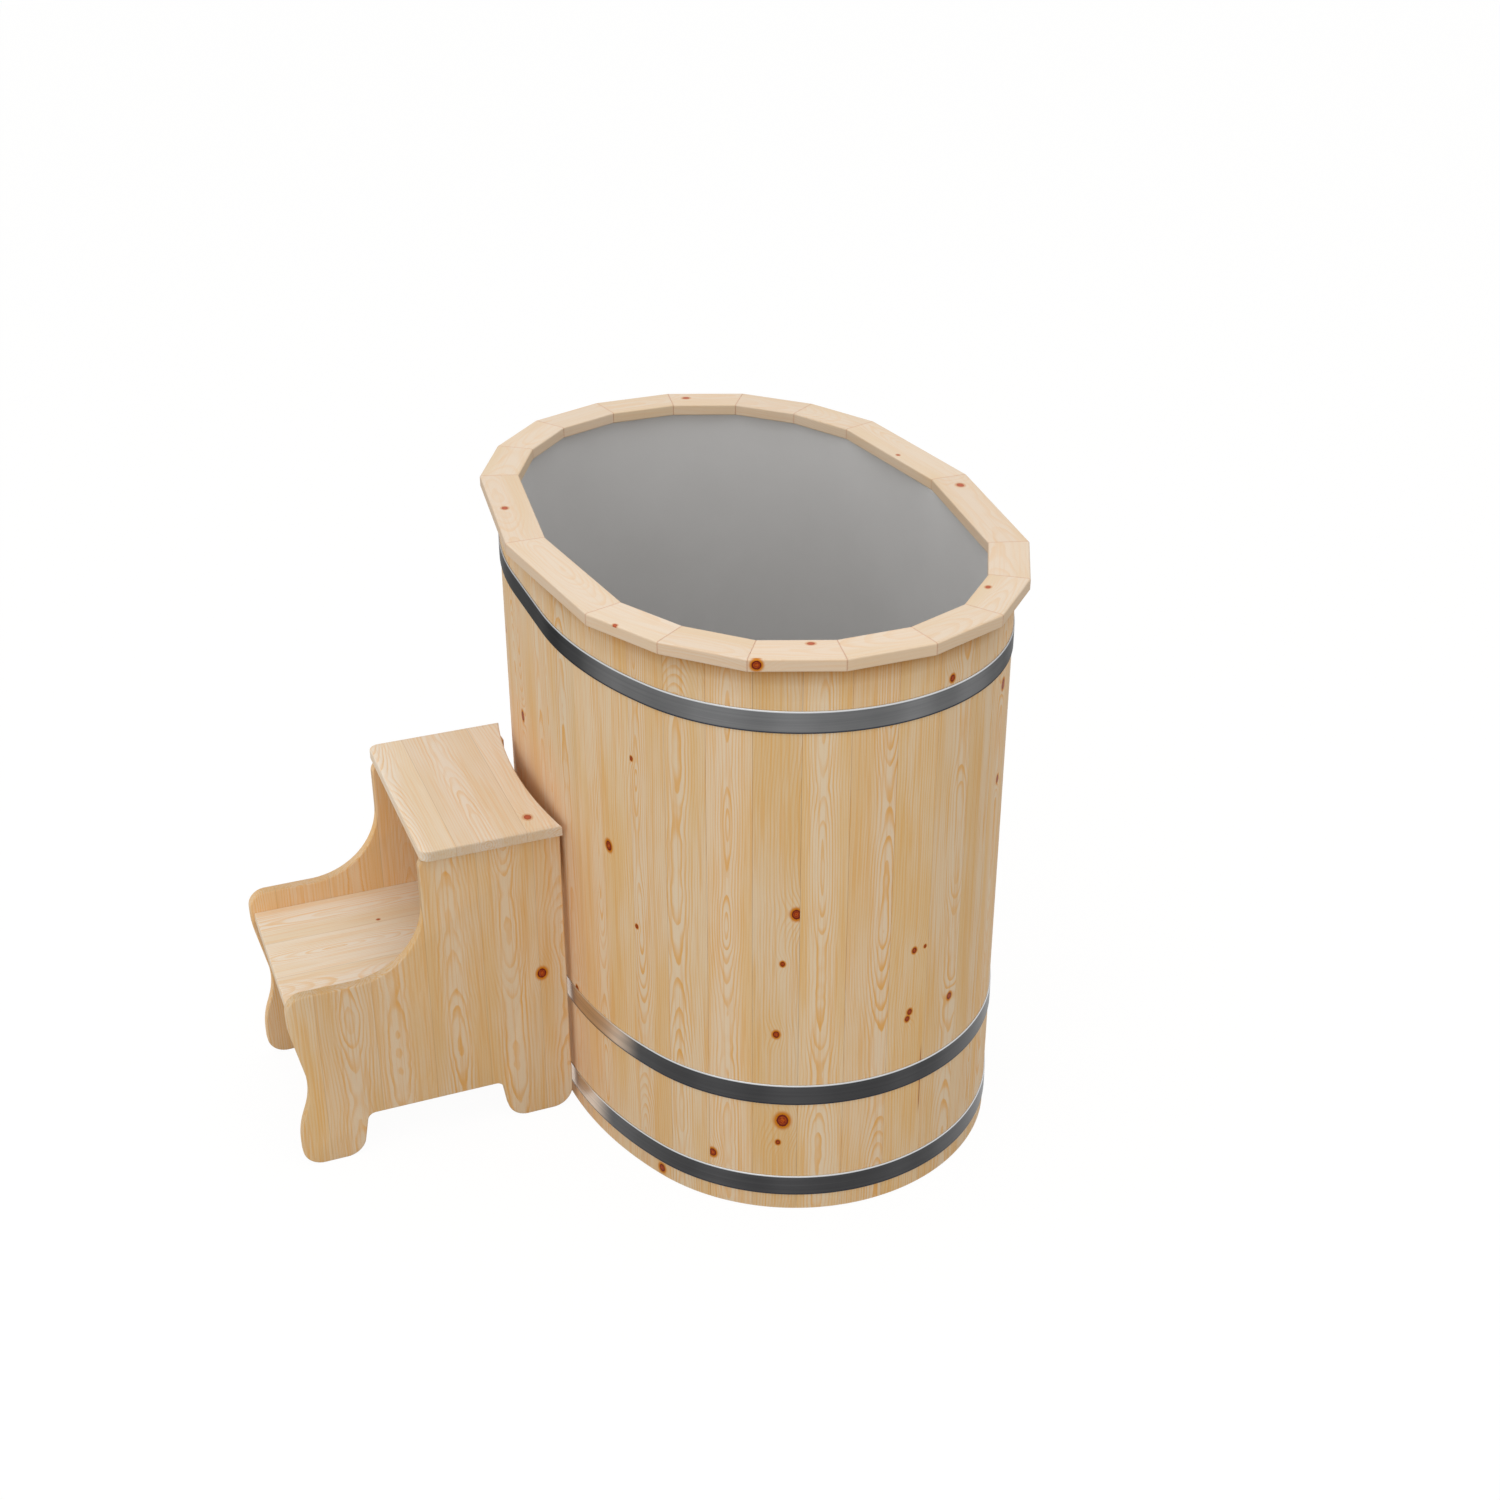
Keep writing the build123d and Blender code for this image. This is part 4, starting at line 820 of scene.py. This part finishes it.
def rim_shell(index):
    """One rim piece: the rounded 64 by 20 section carried between its two mitre planes. A mitre
    plane leaves the edge by the tangent of half the turn for each mm across."""
    a, t, n, length = rim_edge(index)
    tangents = []
    for other in (index - 1, index + 1):
        n2 = rim_edge(other % rim_count)[2]
        tangents.append(np.sqrt((1 - n @ n2) / (1 + n @ n2)))
    section = rounded_box(0, stave_top, rim_width, tub_height, (3, 3, 3, 3), 7)
    ease = 0.2
    rows, places, ends, stains, painted_shades = [], [], [], [], []
    g = rim_mitre_gap / 2
    for share, inward, back in ((0, ease, 0), (0, 0, ease), (0.001, 0, 1.6), (0.33, 0, 0), (0.67, 0, 0),
                                (0.999, 0, -1.6), (1, 0, -ease), (1, ease, 0)):
        ring_points = shrunk(section, inward) if inward else section
        across, height = ring_points[:, 0], ring_points[:, 1]
        start = -tangents[0] * across + g
        end = length + tangents[1] * across - g
        s = start + (end - start) * share + back
        xy = a + s[:, None] * t + across[:, None] * n
        rows.append(np.column_stack([xy, height]))
        places.append(np.stack([s, across - rim_width / 2, tub_height - height], -1))
        ends.append(np.full(len(s), 0.15 if inward else 0.0))
        stains.append(np.full(len(s), 1.0 if share in (0, 1) else 0.0))
        # painted shade on the rim's inner and outer faces, darker than its top
        painted_shades.append(np.where((section[:, 0] < 0.5) | (section[:, 0] > rim_width - 0.5), 0.20, 0.0))
    mine, face_knot = [], None
    for x, y, *more in rim_knots + [rim_face_knot]:
        offset = np.array([x, y]) - a
        along, across = offset @ t, offset @ n
        if 0 <= across <= rim_width + 6 and -tangents[0] * across <= along <= length + tangents[1] * across:
            if len(more) == 1:
                mine.append((along, across - rim_width / 2, more[0]))
            else:
                face_knot = (along, tub_height - more[0], more[1])
    pith = (16 * sin(1.9 * index), 46 + 16 * sin(4.3 * index), 0.05 * sin(2.7 * index))
    return board(np.array(rows), np.array(places), 101 + 2.91 * index, pith, mine, face_knot, None,
                 np.array(ends), np.array(stains), 0.0, np.array(painted_shades))


for index in range(rim_count):
    make_piece("rim_board_%02d" % (index + 1), [rim_shell(index)], rim_pine, "tub",
               ["rim_piece_%02d" % (index + 1)], sharp=60)

# ---------------------------------------------------------------- liner


def liner_shell():
    """The liner's section, inset and height, carried once round the tub: flange, wall, rounded foot
    and underside. The floor closes the two ends of the section."""
    inside = liner_inset + liner_wall
    upper = np.concatenate([
        [(inside + liner_floor_radius, liner_bottom)],
        [(liner_inset + 6.0, liner_bottom)],
        arc((liner_inset + 6.0, liner_bottom + 6.0), 6.0, 270, 180, 7)[1:],
        [(liner_inset, flange_under - 0.1)],
        [(liner_flange_inset + 0.6, flange_under)],
        [(liner_flange_inset, flange_under + 0.6)],
        [(liner_flange_inset, stave_top - 0.6)],
        [(liner_flange_inset + 0.6, stave_top)],
        [(inside - 2.5, stave_top)],
        arc((inside - 2.5, stave_top - 2.5), 2.5, 90, 0, 6)[1:],
        run((inside, stave_top - 2.5), (inside, liner_floor + liner_floor_radius), 5),
        arc((inside + liner_floor_radius, liner_floor + liner_floor_radius), liner_floor_radius, 180, 270, 10),
    ])
    distance = np.linspace(0, girth, 481)[:-1]
    rows = wall(distance[None, :], upper[:, 0:1], upper[:, 1:2])
    return Shell(rows)


liner = make_piece("liner_skin", [liner_shell()], liner_plastic, "tub", ["liner"], sharp=40)

# ---------------------------------------------------------------- hoops


def hoop_shell(middle, height, painted_from, painted_to, shaded):
    """A flat strip with eased edges carried round the outline from one side of its opening to the
    other. Its upper edge is marked for a painted highlight and its lower edge for painted shade.
    Beside the stool the middle and lower hoops carry a painted reflection of the stool's wood and
    the upper hoop painted shade, fading with the distance from the stool's middle."""
    ease = 0.8
    section = thinned(np.concatenate([
        arc((-hoop_thickness + ease, middle - height / 2 + ease), ease, 270, 180, 5),
        [(-hoop_thickness, middle - height / 2 + 2.0), (-hoop_thickness, middle - height / 2 + 3.4),
         (-hoop_thickness, middle + height / 2 - 3.0), (-hoop_thickness, middle + height / 2 - 1.9)],
        arc((-hoop_thickness + ease, middle + height / 2 - ease), ease, 180, 90, 5),
        [(-0.05, middle + height / 2), (-0.05, middle - height / 2)],
    ]))
    distance = np.linspace(quarter + hoop_opening / 2, quarter - hoop_opening / 2 + girth, 460)
    inset, level = section[None, :, 0], section[None, :, 1]
    rows = wall(distance[:, None], inset, level)
    place = np.stack(np.broadcast_arrays(distance[:, None], level, inset), -1) * METRE
    # 1 on the upper edge for a painted highlight, -1 on the lower edge for painted shade
    edge = np.where(level > middle + height / 2 - 2.0, 1.0, np.where(level < middle - height / 2 + 2.1, -1.0, 0.0))
    # painted reflection of the stool on the middle and lower hoops, painted shade on the upper hoop, fading away from
    # the stool's middle
    from_stool = np.abs(distance - (3 * quarter + stool_middle_y))
    fade = np.clip((painted_to - from_stool) / (painted_to - painted_from), 0, 1)[:, None]
    fade = fade * fade * (3 - 2 * fade)
    return Shell(rows, place=place, edge=np.broadcast_to(edge, rows.shape[:2]),
                 painted_stool_reflection=np.broadcast_to(0.0 * fade if shaded else fade, rows.shape[:2]),
                 painted_shadow_tone=np.broadcast_to(1 - 0.62 * fade if shaded else 1 + 0 * fade, rows.shape[:2]))


for name, (middle, height, painted_from, painted_to) in hoops.items():
    make_piece(name + "_strip", [hoop_shell(middle, height, painted_from, painted_to, name == "upper_hoop")], hoop_steels[name], "tub", [name], sharp=60)

# ---------------------------------------------------------------- stool


def slab_levels(low, high, low_ease, high_ease, steps=5):
    """Heights and inward moves of the rings that round a slab's two faces by quarter circles."""
    levels = []
    for k in range(steps):
        a = pi / 2 * (1 - k / (steps - 1))
        levels.append((low + low_ease * (1 - cos(pi / 2 - a)), low_ease * (1 - sin(pi / 2 - a))))
    for k in range(steps):
        a = pi / 2 * k / (steps - 1)
        levels.append((high - high_ease * (1 - sin(a)), high_ease * (1 - cos(a))))
    return levels


def slab(outline, levels, lay, grain, number, knots=(), streak=None):
    """A flat board: rings of its outline, drawn in where the faces round off. lay turns an outline
    point and a level into a place on the stool, and grain turns them into board coordinates."""
    rows, places, ends = [], [], []
    edge_before = np.roll(outline, -1, axis=0) - np.roll(outline, 1, axis=0)
    edge_before /= np.linalg.norm(edge_before, axis=1)[:, None]
    normal = np.stack([-edge_before[:, 1], edge_before[:, 0]], -1)
    for level, inward in levels:
        ring_points = shrunk(outline, inward) if inward > 1e-6 else outline
        rows.append(lay(ring_points, level))
        place, grain_axis = grain(ring_points, level)
        places.append(place)
        ends.append(np.abs(normal[:, grain_axis]) ** 3 * (1.0 if inward < 1.5 else 0.3))
    return board(np.array(rows), np.array(places), number, (0, 26, 0.01), knots, None, streak, np.array(ends))


panel_outline = thinned(filleted(panel_corners))
# knots of the panels: height, distance from the rear edge, radius
panel_knots = {"near_side_panel": [(284, -43, 7.5)], "far_side_panel": [(250, -300, 6.0), (470, -90, 4.0)]}
for number, (name, (low, high)) in enumerate(panel_faces_y.items()):
    def lay(p, level):
        return np.column_stack([stool_rear_x - p[:, 0], np.full(len(p), level), p[:, 1]])

    def grain(p, level, low=low, high=high):
        return np.column_stack([p[:, 1], -p[:, 0], np.full(len(p), level - low if low < 0 else high - level)]), 1

    skin = slab(panel_outline, slab_levels(low, high, 3.0, 3.0), lay, grain, 210 + 31 * number, panel_knots[name])
    make_piece(name + "_board", [skin], bounce_lit_far_panel_pine if number else panel_pine, "stool", [name], sharp=60)

# upper tread: rounded front corners and a rear edge hollowed to follow the tub
half_tread = upper_tread_length / 2
front_x = stool_rear_x - upper_tread_depth
hollow_radius = (half_tread ** 2 + upper_tread_hollow ** 2) / (2 * upper_tread_hollow)
hollow_angle = np.degrees(np.arcsin(half_tread / hollow_radius))
tread_outline = np.concatenate([
    arc((stool_rear_x - upper_tread_hollow + hollow_radius, stool_middle_y), hollow_radius,
        180 - hollow_angle, 180 + hollow_angle, 31),
    arc((front_x + 17, stool_middle_y - half_tread + 17), 17, 270, 180, 10),
    arc((front_x + 17, stool_middle_y + half_tread - 17), 17, 180, 90, 10),
])


def tread_lay(p, level):
    return np.column_stack([p, np.full(len(p), level)])


def tread_grain(p, level):
    across = p[:, 0] - front_x - upper_tread_depth / 2
    return np.column_stack([p[:, 1], across, np.full(len(p), panel_top + 18 - level)]), 1


make_piece(
    "upper_tread_board",
    [slab(tread_outline, slab_levels(panel_top, panel_top + 18, 1.0, 3.0), tread_lay, tread_grain, 305,
          [(-108, 72, 6.0)])],
    upper_tread_pine, "stool", ["upper_tread"], sharp=60)


def batten(section, start, end, lay, place, number, knots=(), ease=0.6):
    """A straight board: its rounded section carried from start to end, both ends drawn in a little."""
    rows, places, ends = [], [], []
    for along, inward in ((start, ease), (start + ease, 0), (end - ease, 0), (end, ease)):
        ring_points = shrunk(section, inward) if inward else section
        rows.append(lay(ring_points, along))
        places.append(place(ring_points, along))
        ends.append(np.full(len(ring_points), 1.0 if inward else 0.0))
    return board(np.array(rows), np.array(places), number, (4, 30, 0.02), knots, None, None, np.array(ends))


# lower tread: its grain runs from front to back, so its section is carried along the grain
def x_lay(p, x):
    return np.column_stack([np.full(len(p), x), p])


lower_outline = rounded_box(lower_tread_x[0], lower_tread_top - 18, lower_tread_x[1], lower_tread_top, (3, 1, 1, 3), 6)


def lower_lay(p, y):
    return np.column_stack([p[:, 0], np.full(len(p), y), p[:, 1]])


def lower_place(p, y):
    return np.column_stack([p[:, 0], np.full(len(p), y - stool_middle_y), lower_tread_top - p[:, 1]])


make_piece(
    "lower_tread_board",
    [batten(lower_outline, -122, 192, lower_lay, lower_place, 331, [(-640, 60, 2.5)], ease=0.3)],
    lower_tread_pine, "stool", ["lower_tread"], sharp=60)

for name, start, end, top in (("lower_tread_cleats", -811, -559, 282), ("upper_tread_cleats", -582, -419, 550)):
    skins = []
    for y in (-122, 192 - cleat_size):
        section = rounded_box(y, top - cleat_size, y + cleat_size, top, (1.5, 1.5, 0.8, 0.8), 4)
        skins.append(batten(section, start, end, x_lay,
                            lambda p, x, y=y, top=top: np.column_stack([np.full(len(p), x), p[:, 0] - y - 12, top - p[:, 1]]),
                            400 + y + top))
    make_piece(name + "_planed", skins, batten_pine, "stool", [name], sharp=60)

rail_section = rounded_box(-419, panel_top - 90, -401, panel_top, (1.5, 1.5, 0.8, 0.8), 4)
make_piece(
    "back_rail_planed",
    [batten(rail_section, -122, 192, lower_lay,
            lambda p, y: np.column_stack([np.full(len(p), y), p[:, 1] - panel_top + 45, -401 - p[:, 0]]), 433, ease=0.3)],
    batten_pine, "stool", ["back_rail"], sharp=60)

# ---------------------------------------------------------------- nodes that keep their own shape

kept = {
    "near_bearer": bearer_pine, "middle_bearer": bearer_pine, "far_bearer": bearer_pine, "floor_boards": floor_pine,
    "rim_biscuits": beech, "rim_dowels": beech,
    "upper_hoop_lugs": lug_steel, "middle_hoop_lugs": lug_steel, "lower_hoop_lugs": lug_steel,
    "hoop_bolts": fastener_steel, "hoop_nuts": fastener_steel, "cleat_screws": fastener_steel,
    "drain_gasket": gasket_rubber, "drain_washer": gasket_rubber, "drain_strainer": drain_steel,
    "drain_nut": drain_steel, "valve_ball": drain_steel, "valve_body": valve_brass, "hose_adapter": valve_brass,
    "valve_stem": valve_brass, "valve_lever": fastener_steel, "lever_nut": fastener_steel, "lever_grip": grip_plastic,
}
for name, material in kept.items():
    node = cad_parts[name]
    node.data.materials.clear()
    node.data.materials.append(material)

# ---------------------------------------------------------------- floor, light and camera


def stage_material(name, colour, share):
    """Pale matt floor that the camera, gloss and glass see mostly as plain white."""
    material = bpy.data.materials.new(name)
    material.use_nodes = True
    tree = material.node_tree
    tree.nodes.clear()
    f = Formula(tree)
    matt = f.node("ShaderNodeBsdfDiffuse")
    matt.inputs["Color"].default_value = colour
    white = f.node("ShaderNodeEmission")
    white.inputs["Color"].default_value = (1, 1, 1, 1)
    white.inputs["Strength"].default_value = 1.06
    path = f.node("ShaderNodeLightPath")
    seen = f.math("MAXIMUM", path.outputs["Is Camera Ray"],
                  f.math("MAXIMUM", path.outputs["Is Glossy Ray"], path.outputs["Is Transmission Ray"]))
    blend = f.node("ShaderNodeMixShader")
    tree.links.new(f.mul(seen, share), blend.inputs[0])
    tree.links.new(matt.outputs[0], blend.inputs[1])
    tree.links.new(white.outputs[0], blend.inputs[2])
    output = f.node("ShaderNodeOutputMaterial")
    tree.links.new(blend.outputs[0], output.inputs[0])
    return material


floor_mesh = bpy.data.meshes.new("studio_floor")
floor_mesh.from_pydata([(-12, -12, 0), (12, -12, 0), (12, 12, 0), (-12, 12, 0)], [], [(0, 1, 2, 3)])
studio_floor = bpy.data.objects.new("studio_floor", floor_mesh)
bpy.context.scene.collection.objects.link(studio_floor)
floor_mesh.materials.append(stage_material("studio floor", (0.60, 0.58, 0.55, 1), 0.90))
studio_floor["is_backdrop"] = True

world = bpy.data.worlds.new("studio")
bpy.context.scene.world = world
world.use_nodes = True
f = Formula(world.node_tree)
world.node_tree.nodes.clear()
soft = f.node("ShaderNodeBackground")
soft.inputs["Color"].default_value = (1, 1, 1, 1)
soft.inputs["Strength"].default_value = 0.71
plain = f.node("ShaderNodeBackground")
plain.inputs["Color"].default_value = (1, 1, 1, 1)
plain.inputs["Strength"].default_value = 1.0
path = f.node("ShaderNodeLightPath")
seen = f.math("MAXIMUM", path.outputs["Is Camera Ray"],
              f.math("MAXIMUM", path.outputs["Is Glossy Ray"], path.outputs["Is Transmission Ray"]))
both = f.node("ShaderNodeMixShader")
world.node_tree.links.new(seen, both.inputs[0])
world.node_tree.links.new(soft.outputs[0], both.inputs[1])
world.node_tree.links.new(plain.outputs[0], both.inputs[2])
world_output = f.node("ShaderNodeOutputWorld")
world.node_tree.links.new(both.outputs[0], world_output.inputs[0])


def softbox(name, place, aim, size, power):
    """A square lamp at a place, turned to its aim."""
    lamp = bpy.data.lights.new(name, "AREA")
    lamp.shape = "SQUARE"
    lamp.size = size
    lamp.energy = power
    lamp_object = bpy.data.objects.new(name, lamp)
    bpy.context.scene.collection.objects.link(lamp_object)
    from mathutils import Vector
    way = Vector(aim) - Vector(place)
    lamp_object.location = place
    lamp_object.rotation_euler = way.to_track_quat("-Z", "Y").to_euler()
    return lamp_object


softbox("overhead softbox", (-0.6, -0.8, 4.2), (0, 0, 0.5), 3.2, 38)
softbox("front fill", (-3.4, -3.6, 2.4), (-0.2, 0, 0.5), 2.6, 28)

camera = bpy.data.cameras.new("camera")
camera.lens = 50.0
camera.sensor_width = 36.0
camera.clip_end = 60.0
camera_object = bpy.data.objects.new("camera", camera)
camera_object.location = (-1.14403, -2.92540, 2.28245)
camera_object.rotation_euler = (radians(61.1446), 0.0, radians(-21.5166))
bpy.context.scene.collection.objects.link(camera_object)
bpy.context.scene.camera = camera_object
bpy.context.scene.view_settings.view_transform = "Standard"

low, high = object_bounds()
{"cad": [list(cad_low), list(cad_high)], "visual": [list(low), list(high)]}
